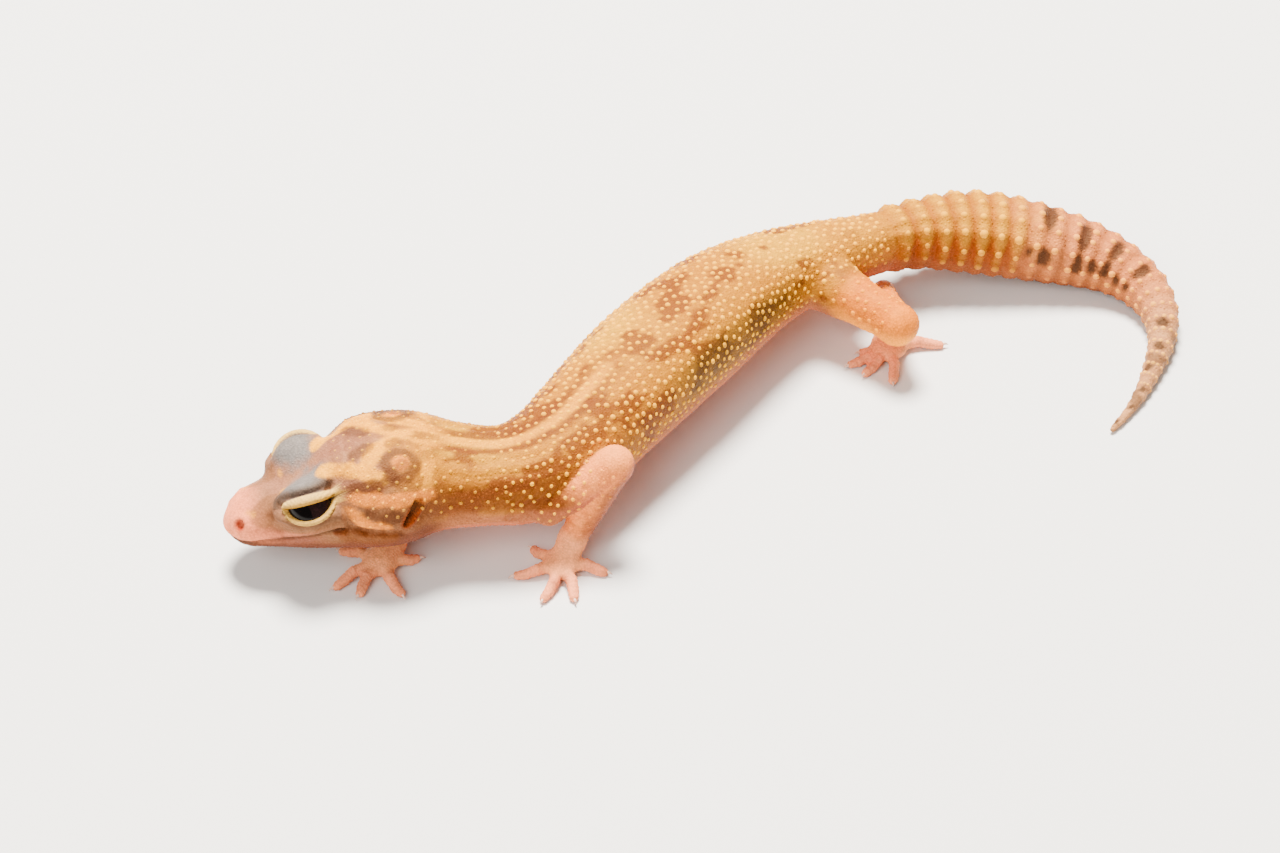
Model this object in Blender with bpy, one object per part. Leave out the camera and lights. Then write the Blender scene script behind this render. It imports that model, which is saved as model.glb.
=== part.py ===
"""Leopard gecko, life size, standing still in mid-step.

All sizes are in millimetres and are scaled to metres when a mesh is made. The head points towards
-Y, the tail runs to +Y and curls round on the animal's left, which is +X. The floor is z = 0.
"""
import bmesh
import bpy
import numpy as np
from math import atan2, cos, pi, radians, sin
from mathutils import Matrix, Vector

MM = 0.001
GAP = 0.3                 # air between neighbouring solids

# ---- backbone: distances run from the snout along the back -----------------------------------
TOTAL_LENGTH = 168.0
HEAD_HEADING = 32.0       # degrees from +Y towards +X, looking along the body from head to tail
BENDS = (                 # where each bend starts and ends, and how far it turns the backbone
    (20.0, 29.0, 13.0),       # neck
    (30.0, 46.0, -58.0),      # shoulders
    (50.0, 72.0, 5.0),        # belly
    (70.0, 95.0, 22.5),       # loins
    (97.0, 127.0, 38.0),      # tail root
    (126.0, 155.0, 104.0),    # tail curl
    (155.0, 168.0, 16.0),     # tail end
)
SNOUT = (-17.3, -52.9)    # where the backbone starts, before the whole is centred

# distance, half width, rise above the axis, depth below it, height of the axis over the floor
STATIONS = np.array((
    (0.0, 3.5, 2.8, 2.1, 6.0),        # snout (rounded off by NOSE_ROUND)
    (4.0, 4.6, 3.9, 2.4, 6.4),
    (10.5, 6.9, 6.2, 3.1, 7.1),       # eyes
    (14.5, 8.3, 7.9, 3.8, 7.9),
    (19.0, 9.4, 8.2, 4.8, 8.7),       # jaw angle
    (22.5, 9.0, 7.7, 5.4, 9.2),
    (28.0, 7.1, 6.2, 5.3, 9.2),       # neck
    (33.0, 6.6, 5.6, 5.2, 9.2),
    (40.0, 7.2, 6.1, 6.0, 9.5),       # shoulders
    (48.0, 7.6, 6.6, 6.2, 9.6),
    (62.0, 8.3, 7.1, 6.7, 9.8),       # belly
    (76.0, 7.8, 6.6, 6.4, 9.8),
    (86.0, 6.2, 5.6, 5.9, 9.5),
    (94.0, 4.9, 4.6, 5.3, 9.2),       # hips
    (101.0, 4.0, 4.1, 4.6, 8.7),      # vent
    (105.0, 4.2, 4.4, 4.4, 8.2),
    (116.0, 5.7, 5.6, 4.8, 6.7),      # thickest of the tail
    (128.0, 5.0, 4.9, 4.4, 4.9),
    (139.0, 3.4, 3.2, 3.1, 3.1),
    (149.0, 2.05, 1.9, 1.9, 1.84),
    (160.0, 1.1, 1.0, 1.0, 0.95),
    (168.0, 0.6, 0.58, 0.58, 0.54),
))
NOSE_ROUND = 3.5          # length over which the snout rounds to its tip
TIP_ROUND = 1.0           # the same for the tail's tip
BOXINESS = 2.35           # exponent of the cross-section, 2 is an ellipse

# ---- where the body is parted --------------------------------------------------------------
HEAD_END = 25.5
NECK_END = 34.0
CHEST_END = 57.0
BELLY_END = 80.0
HIPS_END = 102.5
TAIL_PARTS = (119.0, 135.0, 150.0, TOTAL_LENGTH)
TAIL_SIDES = (16, 14, 12, 10)
WHORL_PITCH = 3.0         # one ring of tail knobs to the next, at the tail's root
WHORL_SHRINK = 0.45       # how much shorter the pitch is at the tip, as a share
WHORL_DEPTH = 0.3         # crest to groove

# ---- head ------------------------------------------------------------------------------------
EYE_AT = 11.0             # behind the snout
EYE_SIDE = 4.2            # from the middle plane
EYE_RISE = 3.4            # above the head's axis
EYE_RADIUS = 3.1
LID_WALL = 0.8            # the lids over the ball
EYE_OPENING = (3.05, 1.25)    # half length and half height of the gap between the lids
GAZE_UP = {1: 33.0, -1: 27.0}     # degrees, on the left and on the right
GAZE_FORWARD = 4.0
# the mouth line from ahead of the snout to behind the jaw's hinge, then down below the chin
MOUTH = ((-3.0, -0.7), (2.7, -0.4), (5.6, -0.1), (9.1, 0.6), (12.5, 0.9), (14.5, 0.8), (19.7, -0.9),
         (22.6, -14.0))
MOUTH_REACH = 14.0        # sideways, past the cheeks
EAR_AT = 22.3
EAR_HALF = (0.45, 1.5)    # half width and half height of the ear slit
EAR_SLANT = 36.0
EAR_RISE = 2.2
EAR_OUT = 0.95            # where the cheek lies at that height, as a share of the half width

# ---- limbs: joint centres, before the whole is centred -------------------------------------
# The palm's centre lies as high as its own half height. aim is the heading of the foot's axis,
# in degrees from -Y towards +X.
LIMBS = {
    "fore_left": dict(root=(9.3, -24.3, 7.9), bend=(12.7, -16.4, 12.4), ankle=(11.3, -22.4, 2.9),
                      palm=(11.9, -24.7), aim=26.0, side=1),
    "fore_right": dict(root=(-1.8, -23.6, 7.6), bend=(-10.6, -26.9, 4.6), ankle=(-4.4, -37.6, 2.0),
                       palm=(-3.5, -40.2), aim=22.0, side=-1),
    "hind_left": dict(root=(4.2, 30.4, 8.4), bend=(15.2, 31.2, 7.9), ankle=(5.3, 39.6, 2.6),
                      palm=(12.0, 33.6), aim=39.0, side=1),
    "hind_right": dict(root=(-1.0, 33.6, 8.4), bend=(-10.4, 29.0, 4.8), ankle=(-5.2, 41.0, 2.7),
                       palm=(-9.6, 34.6), aim=-36.0, side=-1),
}
# radii: at the root, in the muscle, at the elbow or knee, above the wrist or ankle, at it
RADII = {"fore": (2.3, 2.25, 2.35, 2.2, 1.75), "hind": (4.0, 3.2, 2.75, 1.95, 1.55)}
PALM = {"fore": (2.5, 2.3, 1.25), "hind": (2.9, 2.5, 1.3)}      # half length, width, height
# toes one to five: turn from the foot's axis (outwards is positive) and length from the palm
TOES = {
    "fore_left": ((-109, 4.3), (-52, 5.6), (0, 5.9), (36, 5.7), (97, 5.2)),
    "fore_right": ((-126, 4.3), (-52, 5.7), (0, 5.5), (29, 6.4), (90, 5.2)),
    "hind_left": ((-70, 3.6), (-51, 6.1), (-27, 5.8), (8, 6.4), (103, 6.7)),
    "hind_right": ((-70, 3.6), (-51, 6.1), (-27, 6.1), (8, 6.4), (98, 6.7)),
}
TOE_RADII = (0.86, 0.76, 0.72, 0.62)    # root, middle joint, last joint, tip
TOE_ARCH = 0.55           # how high the middle joint stands over the tip
TOE_HOOK = 0.35           # sideways bend of the last joint
CLAW_LENGTH = 0.75
CLAW_RADIUS = 0.27
SOLE_SINK = 0.14          # how far feet and tail are cut flat where they meet the floor

SKIN_COLOURS = {
    "head": (0.78, 0.42, 0.27), "jaw": (0.86, 0.52, 0.45), "neck": (0.77, 0.40, 0.20),
    "trunk": (0.80, 0.45, 0.17), "tail": (0.84, 0.45, 0.14), "tail_end": (0.66, 0.42, 0.36),
    "limb": (0.84, 0.50, 0.36), "foot": (0.88, 0.60, 0.50), "eye": (0.05, 0.02, 0.015),
    "claw": (0.72, 0.52, 0.45),
}


# ---- backbone and cross-sections --------------------------------------------------------------
def smooth_step(value):
    value = np.clip(value, 0.0, 1.0)
    return value * value * (3.0 - 2.0 * value)


def heading_at(distance):
    """Heading of the backbone, in radians from +Y towards +X."""
    heading = HEAD_HEADING
    for start, end, turn in BENDS:
        heading = heading + turn * smooth_step((distance - start) / (end - start))
    return np.radians(heading)


def station_values(distance):
    """Half width, rise, depth and axis height, by a smooth curve through the stations."""
    knots = STATIONS[:, 0]
    values = STATIONS[:, 1:]
    slopes = np.gradient(values, knots, axis=0)
    index = int(np.clip(np.searchsorted(knots, distance) - 1, 0, len(knots) - 2))
    span = knots[index + 1] - knots[index]
    t = (distance - knots[index]) / span
    hermite = (
        (1 + 2 * t) * (1 - t) ** 2 * values[index]
        + t * (1 - t) ** 2 * span * slopes[index]
        + t * t * (3 - 2 * t) * values[index + 1]
        + t * t * (t - 1) * span * slopes[index + 1]
    )
    return hermite


BACKBONE_STEP = 0.1
BACKBONE_S = np.arange(-4.0, TOTAL_LENGTH + 4.0, BACKBONE_STEP)
_headings = heading_at(BACKBONE_S)
BACKBONE_X = np.cumsum(np.sin(_headings)) * BACKBONE_STEP
BACKBONE_Y = np.cumsum(np.cos(_headings)) * BACKBONE_STEP
BACKBONE_X += SNOUT[0] - np.interp(0.0, BACKBONE_S, BACKBONE_X)
BACKBONE_Y += SNOUT[1] - np.interp(0.0, BACKBONE_S, BACKBONE_Y)


def axis_point(distance):
    """Centre of the body at a distance from the snout."""
    height = station_values(distance)[3]
    x = np.interp(distance, BACKBONE_S, BACKBONE_X)
    y = np.interp(distance, BACKBONE_S, BACKBONE_Y)
    return Vector((x, y, height))


def body_frame(distance):
    """Centre, the animal's left, and up, of the cross-section at a distance."""
    heading = float(heading_at(distance))
    ahead = axis_point(distance + 0.5) - axis_point(distance - 0.5)
    left = Vector((cos(heading), -sin(heading), 0.0))
    up = left.cross(ahead).normalized()
    if up.z < 0:
        up = -up
    return axis_point(distance), left, up


def end_rounding(distance):
    """Shrinks the section to nothing at the snout and at the tail's tip, like a quarter circle."""
    nose = min(distance / NOSE_ROUND, 1.0)
    tip = min((TOTAL_LENGTH - distance) / TIP_ROUND, 1.0)
    return max(0.06, (1 - (1 - nose) ** 2) ** 0.5) * max(0.12, (1 - (1 - tip) ** 2) ** 0.5)


def section(distance, count, swell=0.0, ripple=0.0):
    """One ring of points round the body. swell is added to every radius."""
    centre, left, up = body_frame(distance)
    width, rise, depth, _ = station_values(distance)
    rounding = end_rounding(distance)
    power = 2.0 / BOXINESS
    ring = []
    for step in range(count):
        angle = 2 * pi * step / count
        side = abs(cos(angle)) ** power * (1 if cos(angle) >= 0 else -1)
        high = abs(sin(angle)) ** power * (1 if sin(angle) >= 0 else -1)
        tall = rise if high >= 0 else depth
        ring.append(centre + left * side * (width * rounding + swell - ripple)
                    + up * high * (tall * rounding + swell - ripple))
    return ring


# ---- making meshes -----------------------------------------------------------------------------
def clear_scene():
    for scene_object in list(bpy.data.objects):
        bpy.data.objects.remove(scene_object)


def new_collection(name):
    collection = bpy.data.collections.new(name)
    bpy.context.scene.collection.children.link(collection)
    return collection


def material_for(kind, roughness):
    name = "gecko_" + kind
    material = bpy.data.materials.get(name)
    if material is None:
        material = bpy.data.materials.new(name)
        material.use_nodes = True
        shader = material.node_tree.nodes["Principled BSDF"]
        shader.inputs["Base Color"].default_value = (*SKIN_COLOURS[kind], 1.0)
        shader.inputs["Roughness"].default_value = roughness
        shader.inputs["Metallic"].default_value = 0.0
    return material


def object_from(build, name, collection, kind, roughness=0.6):
    """Makes an object in metres from a bmesh in millimetres."""
    bmesh.ops.recalc_face_normals(build, faces=build.faces)
    bmesh.ops.scale(build, vec=(MM, MM, MM), verts=build.verts)
    mesh = bpy.data.meshes.new(name)
    build.to_mesh(mesh)
    build.free()
    mesh.shade_smooth()
    made = bpy.data.objects.new(name, mesh)
    made.data.materials.append(material_for(kind, roughness))
    collection.objects.link(made)
    return made


def loft(rings):
    """A closed bmesh through rings of equal count, with flat ends."""
    build = bmesh.new()
    rows = [[build.verts.new(point) for point in ring] for ring in rings]
    count = len(rows[0])
    for near, far in zip(rows, rows[1:]):
        for step in range(count):
            after = (step + 1) % count
            build.faces.new((near[step], near[after], far[after], far[step]))
    build.faces.new(rows[0])
    build.faces.new(rows[-1])
    return build


def steps_between(start, end, pitch):
    count = max(2, int(round((end - start) / pitch)) + 1)
    return [float(value) for value in np.linspace(start, end, count)]


def whorl_stations(start, end):
    """Crest and groove distances of the tail's rings, and how deep each lies."""
    stations = [(start, 0.0)]
    distance = HIPS_END
    while distance < end:
        share = (distance - HIPS_END) / (TOTAL_LENGTH - HIPS_END)
        pitch = WHORL_PITCH * (1 - WHORL_SHRINK * share)
        depth = WHORL_DEPTH * (1 - 0.7 * share)
        for place, sink in ((distance + 0.1 * pitch, depth), (distance + 0.5 * pitch, 0.0)):
            if start + 0.35 < place < end - 0.35:
                stations.append((place, sink))
        distance += pitch
    stations.append((end, 0.0))
    return stations


def cut_by_plane(build, point, normal, tolerance=0.00001):
    """Removes what lies on the normal's side of a plane and closes the cut."""
    geometry = build.verts[:] + build.edges[:] + build.faces[:]
    cut = bmesh.ops.bisect_plane(build, geom=geometry, dist=tolerance, plane_co=point,
                                 plane_no=normal, clear_outer=True)
    rim = [item for item in cut["geom_cut"] if isinstance(item, bmesh.types.BMEdge)]
    if rim:
        bmesh.ops.edgeloop_fill(build, edges=rim)


def rounded_limb(start, end, radii, sides=10):
    """A tapered limb with ball ends; radii are at start, in the middle and at end."""
    axis = (end - start).normalized()
    helper = Vector((0, 0, 1)) if abs(axis.z) < 0.8 else Vector((1, 0, 0))
    across = axis.cross(helper).normalized()
    over = axis.cross(across).normalized()
    rings = []
    stations = []
    for angle in (70, 35):
        stations.append((start - axis * radii[0] * sin(radians(angle)), radii[0] * cos(radians(angle))))
    for share in (0.0, 0.25, 0.5, 0.75, 1.0):
        bulge = 4 * share * (1 - share)
        radius = radii[0] * (1 - share) + radii[2] * share
        radius += bulge * (radii[1] - (radii[0] + radii[2]) / 2)
        stations.append((start.lerp(end, share), radius))
    for angle in (35, 70):
        stations.append((end + axis * radii[2] * sin(radians(angle)), radii[2] * cos(radians(angle))))
    for centre, radius in stations:
        rings.append([centre + across * radius * cos(2 * pi * step / sides)
                      + over * radius * sin(2 * pi * step / sides) for step in range(sides)])
    return loft(rings)


def tube(points, radii, sides=6):
    """A tapered tube along a few points."""
    rings = []
    for index, point in enumerate(points):
        before = points[max(index - 1, 0)]
        after = points[min(index + 1, len(points) - 1)]
        axis = (after - before).normalized()
        across = axis.cross(Vector((0, 0, 1))).normalized()
        over = across.cross(axis).normalized()
        rings.append([point + across * radii[index] * cos(2 * pi * step / sides)
                      + over * radii[index] * sin(2 * pi * step / sides) for step in range(sides)])
    return loft(rings)


def ball(centre, size, turn=None, segments=16, rings=8):
    build = bmesh.new()
    bmesh.ops.create_uvsphere(build, u_segments=segments, v_segments=rings, radius=1.0)
    matrix = Matrix.Translation(centre) @ (turn or Matrix.Identity(4)) @ Matrix.Diagonal((*size, 1.0))
    bmesh.ops.transform(build, matrix=matrix, verts=build.verts)
    return build


def hide_cutter(cutter):
    cutter.hide_render = True
    cutter.display_type = "WIRE"


def apply_boolean(target, cutter, operation):
    """Applies one exact boolean at once and hides the tool used."""
    modifier = target.modifiers.new(operation.lower(), "BOOLEAN")
    modifier.operation = operation
    modifier.object = cutter
    modifier.solver = "EXACT"
    evaluated = target.evaluated_get(bpy.context.evaluated_depsgraph_get())
    mesh = bpy.data.meshes.new_from_object(evaluated)
    target.modifiers.remove(modifier)
    old = target.data
    target.data = mesh
    mesh.name = target.name
    bpy.data.meshes.remove(old)
    hide_cutter(cutter)


# ---- body --------------------------------------------------------------------------------------
def body_length(name, start, end, pitch, count, kind, parts, first=False):
    margin = GAP / 2
    begin = 0.0 if first else start + margin
    rings = []
    if first:
        for angle in (0, 22, 40, 58, 76):
            rings.append(section(NOSE_ROUND * (1 - cos(radians(angle))), count))
        begin = NOSE_ROUND
    rings += [section(distance, count) for distance in steps_between(begin, end - margin, pitch)]
    return object_from(loft(rings), name, parts, kind)


def tail_length(name, start, end, count, kind, parts):
    last = end == TOTAL_LENGTH
    margin = GAP / 2
    stop = end - TIP_ROUND if last else end - margin
    rings = [section(distance, count, ripple=sink)
             for distance, sink in whorl_stations(start + margin, stop)]
    if last:
        for angle in (30, 60, 85):
            rings.append(section(TOTAL_LENGTH - TIP_ROUND * (1 - sin(radians(angle))), count))
    build = loft(rings)
    cut_by_plane(build, Vector((0, 0, 0)), Vector((0, 0, -1)))
    return object_from(build, name, parts, kind)


def head_matrix(distance, side, rise):
    """A frame in the head: X towards the tail, Y to the animal's left, Z up."""
    centre, left, up = body_frame(distance)
    back = left.cross(up)
    rotation = Matrix((back, left, up)).transposed().to_4x4()
    return Matrix.Translation(centre + left * side + up * rise) @ rotation


def eye_frame(side):
    """Frame at the eye: Z looks out of the eye, X runs towards the tail."""
    frame = head_matrix(EYE_AT, EYE_SIDE * side, EYE_RISE)
    rise = radians(GAZE_UP[side])
    level = cos(rise)
    aim = Vector((-sin(radians(GAZE_FORWARD)) * level, side * cos(radians(GAZE_FORWARD)) * level,
                  sin(rise)))
    back = (Vector((1, 0, 0)) - aim * aim.x).normalized()
    over = aim.cross(back)
    return frame @ Matrix((back, over, aim)).transposed().to_4x4()


def mouth_cutter(cutters, shift):
    """A block below the mouth line, as wide as the head, lowered by shift."""
    build = bmesh.new()
    outline = list(MOUTH) + [(MOUTH[0][0], MOUTH[-1][1])]
    columns = []
    for side in (-MOUTH_REACH, MOUTH_REACH):
        columns.append([build.verts.new(head_matrix(distance, side, rise - shift).translation)
                        for distance, rise in outline])
    count = len(outline)
    for step in range(count):
        after = (step + 1) % count
        build.faces.new((columns[0][step], columns[0][after], columns[1][after], columns[1][step]))
    build.faces.new(columns[0])
    build.faces.new(columns[1])
    return object_from(build, "mouth_cutter", cutters, "jaw")


def build_head(parts, cutters):
    head = body_length("head", 0.0, HEAD_END, 2.3, 22, "head", parts, first=True)
    for side, label in ((1, "left"), (-1, "right")):
        frame = eye_frame(side)
        lid = EYE_RADIUS + LID_WALL
        bulge = object_from(ball(Vector(), (lid * 1.27, lid * 0.99, lid * 1.02), frame),
                            "lid_form_" + label, cutters, "head")
        apply_boolean(head, bulge, "UNION")
        room = EYE_RADIUS + GAP
        socket = object_from(ball(Vector(), (room, room, room), frame), "socket_" + label,
                             cutters, "head")
        apply_boolean(head, socket, "DIFFERENCE")
        window = bmesh.new()
        bmesh.ops.create_cone(window, cap_ends=True, segments=16, radius1=1.0, radius2=1.0, depth=6.0)
        bmesh.ops.transform(window, verts=window.verts, matrix=frame @ Matrix.Translation((0, 0, 4.2))
                            @ Matrix.Diagonal((*EYE_OPENING, 1.0, 1.0)))
        opening = object_from(window, "lid_opening_" + label, cutters, "head")
        apply_boolean(head, opening, "DIFFERENCE")
        object_from(ball(Vector(), (EYE_RADIUS,) * 3, frame, 14, 8), "eye_" + label, parts,
                    "eye", 0.08)
        width = station_values(EAR_AT)[0]
        slant = Matrix.Rotation(radians(EAR_SLANT * side), 4, "Y")
        ear = object_from(ball(Vector(), (EAR_HALF[0], 1.1, EAR_HALF[1]),
                               head_matrix(EAR_AT, width * EAR_OUT * side, EAR_RISE) @ slant, 10, 8),
                          "ear_hollow_" + label, cutters, "head")
        apply_boolean(head, ear, "DIFFERENCE")
    jaw = head.copy()
    jaw.data = head.data.copy()
    jaw.name = "lower_jaw"
    parts.objects.link(jaw)
    jaw.data.materials[0] = material_for("jaw", 0.6)
    apply_boolean(head, mouth_cutter(cutters, 0.0), "DIFFERENCE")
    apply_boolean(jaw, mouth_cutter(cutters, GAP), "INTERSECT")
    return head


def build_body(parts, cutters):
    build_head(parts, cutters)
    body_length("neck", HEAD_END, NECK_END, 2.0, 20, "neck", parts)
    body_length("chest", NECK_END, CHEST_END, 3.1, 20, "trunk", parts)
    body_length("belly", CHEST_END, BELLY_END, 3.6, 20, "trunk", parts)
    body_length("hips", BELLY_END, HIPS_END, 3.2, 20, "trunk", parts)
    start = HIPS_END
    for number, end in enumerate(TAIL_PARTS, 1):
        kind = "tail" if number < 3 else "tail_end"
        tail_length("tail_%d" % number, start, end, TAIL_SIDES[number - 1], kind, parts)
        start = end


def swollen_body(cutters):
    """The body from neck to tail, larger by the gap, used to seat the limbs against it."""
    rings = [section(distance, 24, swell=GAP) for distance in steps_between(3.0, 130.0, 2.4)]
    return object_from(loft(rings), "body_seat", cutters, "trunk")


# ---- limbs -------------------------------------------------------------------------------------
def compass(degrees):
    """Unit vector on the floor, from degrees turned from -Y towards +X."""
    return Vector((sin(radians(degrees)), -cos(radians(degrees)), 0.0))


def toe_points(palm, degrees, length, side):
    """Root, middle joint, last joint and tip of a toe that lies on the floor."""
    ahead = compass(degrees)
    across = Vector((-ahead.y, ahead.x, 0.0)) * side
    tip_height = TOE_RADII[3] - SOLE_SINK
    root = palm + ahead * length * 0.22
    root.z = palm.z * 0.9
    middle = palm + ahead * length * 0.58 + across * TOE_HOOK
    middle.z = tip_height + TOE_ARCH
    last = palm + ahead * length * 0.82 + across * TOE_HOOK * 0.6
    last.z = tip_height + 0.12
    tip = palm + ahead * length
    tip.z = tip_height
    return [root, middle, last, tip]


def claw_mesh(tip, ahead):
    """A small hook beyond the toe's tip, clear of the floor."""
    start = tip + ahead * (TOE_RADII[3] * 0.75 + GAP)
    points = [start + Vector((0, 0, 0.16)), start + ahead * CLAW_LENGTH * 0.6 + Vector((0, 0, 0.14)),
              start + ahead * CLAW_LENGTH + Vector((0, 0, -0.14))]
    return tube(points, (CLAW_RADIUS, CLAW_RADIUS * 0.7, CLAW_RADIUS * 0.2), 5)


def palm_centre(limb, pair):
    """Centre of the palm or sole, sunk into the floor by the depth of its flat."""
    return Vector((*limb["palm"], PALM[pair][2] - SOLE_SINK))


def build_foot(name, limb, pair, parts, cutters):
    palm = palm_centre(limb, pair)
    ankle = Vector(limb["ankle"])
    half_length, half_width, half_height = PALM[pair]
    ankle_radius = RADII[pair][4]
    turn = Matrix.Rotation(atan2(compass(limb["aim"]).y, compass(limb["aim"]).x), 4, "Z")
    sole = ball(palm, (half_length, half_width, half_height), turn, 12, 6)
    foot = object_from(sole, "foot_" + name, parts, "foot")
    heel = rounded_limb(ankle, palm, (ankle_radius, ankle_radius * 0.95, half_height * 0.95), 7)
    apply_boolean(foot, object_from(heel, "heel_" + name, cutters, "foot"), "UNION")
    for number, (spread, length) in enumerate(TOES[name], 1):
        degrees = limb["aim"] + spread * limb["side"]
        points = toe_points(palm, degrees, length, limb["side"])
        ahead = compass(degrees)
        end = points[-1] + ahead * TOE_RADII[3] * 0.75
        shape = tube(points + [end], (*TOE_RADII, TOE_RADII[3] * 0.45))
        toe = object_from(shape, "toe_%s_%d" % (name, number), cutters, "foot")
        apply_boolean(foot, toe, "UNION")
        object_from(claw_mesh(points[-1], ahead), "claw_%s_%d" % (name, number), parts, "claw", 0.35)
    return foot


def trim(target, point, normal):
    """Cuts a finished object by a plane given in millimetres."""
    build = bmesh.new()
    build.from_mesh(target.data)
    cut_by_plane(build, point * MM, normal, tolerance=0.00001 * MM)
    bmesh.ops.recalc_face_normals(build, faces=build.faces)
    build.to_mesh(target.data)
    build.free()


def mitre_normal(before, corner, after):
    """Normal of the plane that halves the angle of a bent limb."""
    return ((corner - before).normalized() + (after - corner).normalized()).normalized()


def build_limb(name, limb, body_seat, parts, cutters):
    pair = name.split("_")[0]
    root, bend, ankle = (Vector(limb[key]) for key in ("root", "bend", "ankle"))
    palm = palm_centre(limb, pair)
    radii = RADII[pair]
    upper_name, lower_name = ("upper_arm_", "forearm_") if pair == "fore" else ("thigh_", "shin_")
    side = name.split("_")[1]
    upper = object_from(rounded_limb(root, bend, radii[:3], 12), upper_name + side, parts, "limb")
    lower = object_from(rounded_limb(bend, ankle, radii[2:], 12), lower_name + side, parts, "limb")
    foot = build_foot(name, limb, pair, parts, cutters)
    mitre = mitre_normal(root, bend, ankle)
    trim(upper, bend - mitre * GAP / 2, mitre)
    trim(lower, bend + mitre * GAP / 2, -mitre)
    mitre = mitre_normal(bend, ankle, palm)
    trim(lower, ankle - mitre * GAP / 2, mitre)
    trim(foot, ankle + mitre * GAP / 2, -mitre)
    trim(foot, Vector((0, 0, 0)), Vector((0, 0, -1)))
    for piece in (upper, lower, foot):
        apply_boolean(piece, body_seat, "DIFFERENCE")


def centre_on_floor(parts, holder):
    """Moves the whole so that its footprint is centred on the origin."""
    points = np.array([corner for part in parts.objects for corner in
                       [vertex.co[:] for vertex in part.data.vertices]])
    middle = (points.min(axis=0) + points.max(axis=0)) / 2
    for part in parts.objects:
        part.parent = holder
    holder.location = (-middle[0], -middle[1], 0.0)


def main():
    clear_scene()
    parts = new_collection("leopard_gecko")
    cutters = new_collection("cutters")
    holder = bpy.data.objects.new("gecko_origin", None)
    bpy.context.scene.collection.objects.link(holder)
    build_body(parts, cutters)
    body_seat = swollen_body(cutters)
    for name, limb in LIMBS.items():
        build_limb(name, limb, body_seat, parts, cutters)
    centre_on_floor(parts, holder)
    bpy.context.view_layer.update()


main()
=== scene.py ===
"""Looks of the leopard gecko: one skin, its knobbly coat, eyes and claws, on a pale studio floor.

Lengths are millimetres in the animal's own frame: the head points to -Y, the animal's left is +X
and the floor is z = 0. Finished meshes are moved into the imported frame's metres by Placement.
Many functions read two distances: along, from the snout down the backbone, and down, an angle
from the back's middle line.
"""

import logging
from dataclasses import dataclass, field
from enum import Enum

import bmesh
import bpy
import numpy as np
from bpy.types import Material, Mesh, NodeSocket, Object
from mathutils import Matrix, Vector
from mathutils.bvhtree import BVHTree
from mathutils.kdtree import KDTree


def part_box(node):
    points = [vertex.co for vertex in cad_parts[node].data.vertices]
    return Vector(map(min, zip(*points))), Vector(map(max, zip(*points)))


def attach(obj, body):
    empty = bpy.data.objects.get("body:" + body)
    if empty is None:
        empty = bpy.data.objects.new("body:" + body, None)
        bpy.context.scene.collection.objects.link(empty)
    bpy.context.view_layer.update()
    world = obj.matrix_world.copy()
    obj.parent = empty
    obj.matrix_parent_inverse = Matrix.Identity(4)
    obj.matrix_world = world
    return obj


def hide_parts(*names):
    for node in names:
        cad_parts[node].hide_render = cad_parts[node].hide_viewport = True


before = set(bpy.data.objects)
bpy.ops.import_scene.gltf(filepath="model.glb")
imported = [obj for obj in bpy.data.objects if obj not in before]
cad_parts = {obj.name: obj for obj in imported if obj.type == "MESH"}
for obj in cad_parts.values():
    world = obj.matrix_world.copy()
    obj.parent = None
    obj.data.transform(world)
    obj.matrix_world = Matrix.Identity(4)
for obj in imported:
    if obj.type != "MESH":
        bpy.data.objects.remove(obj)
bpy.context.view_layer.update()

log = logging.getLogger("gecko")
Array = np.ndarray
Colour = tuple[float, float, float]
MM = 0.001
FAR = 99.0
UP = np.array((0.0, 0.0, 1.0))


# ---- small mathematics ----
def smooth_step(value: Array) -> Array:
    """Numbers, held between 0 and 1, eased at both ends."""
    value = np.clip(value, 0.0, 1.0)
    return value * value * (3.0 - 2.0 * value)


def ramp(value: Array, start: float, end: float) -> Array:
    """Rises smoothly from 0 at start to 1 at end, which may be the smaller."""
    return smooth_step((np.asarray(value) - start) / (end - start))


def band(value: Array, start: float, end: float, soft: float) -> Array:
    """1 between start and end, with sides as wide as soft."""
    return ramp(value, start - soft / 2, start + soft / 2) * ramp(value, end + soft / 2, end - soft / 2)


def bump_at(distance: Array, width: float) -> Array:
    """A bell of height 1 that has fallen to about a third at width."""
    return np.exp(-((distance / width) ** 2))


def smooth_union(first: Array, second: Array, blend: Array | float) -> Array:
    """Joins two distance fields with a fillet as large as blend."""
    share = np.clip(0.5 + 0.5 * (second - first) / blend, 0.0, 1.0)
    return second * (1 - share) + first * share - blend * share * (1 - share)


def unit(vectors: Array) -> Array:
    """Rows scaled to length 1."""
    return vectors / np.maximum(np.linalg.norm(vectors, axis=-1, keepdims=True), 1e-9)


def turns(count: int) -> Array:
    """Equal steps once round, in radians."""
    return np.linspace(0, 2 * np.pi, count, endpoint=False)


def circle(count: int, across: Array, over: Array) -> Array:
    """Points round a circle that two vectors span."""
    return np.outer(np.cos(turns(count)), across) + np.outer(np.sin(turns(count)), over)


def compass(degrees: float) -> Array:
    """Unit vector on the floor, turned from -Y towards +X."""
    return np.array((np.sin(np.radians(degrees)), -np.cos(np.radians(degrees)), 0.0))


def ellipsoid_distance(local: Array, size: Array) -> Array:
    """Distance to an ellipsoid about the origin with the half axes of size."""
    near = np.linalg.norm(local / size, axis=1)
    return near * (near - 1) / np.maximum(np.linalg.norm(local / size**2, axis=1), 1e-6)


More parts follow.
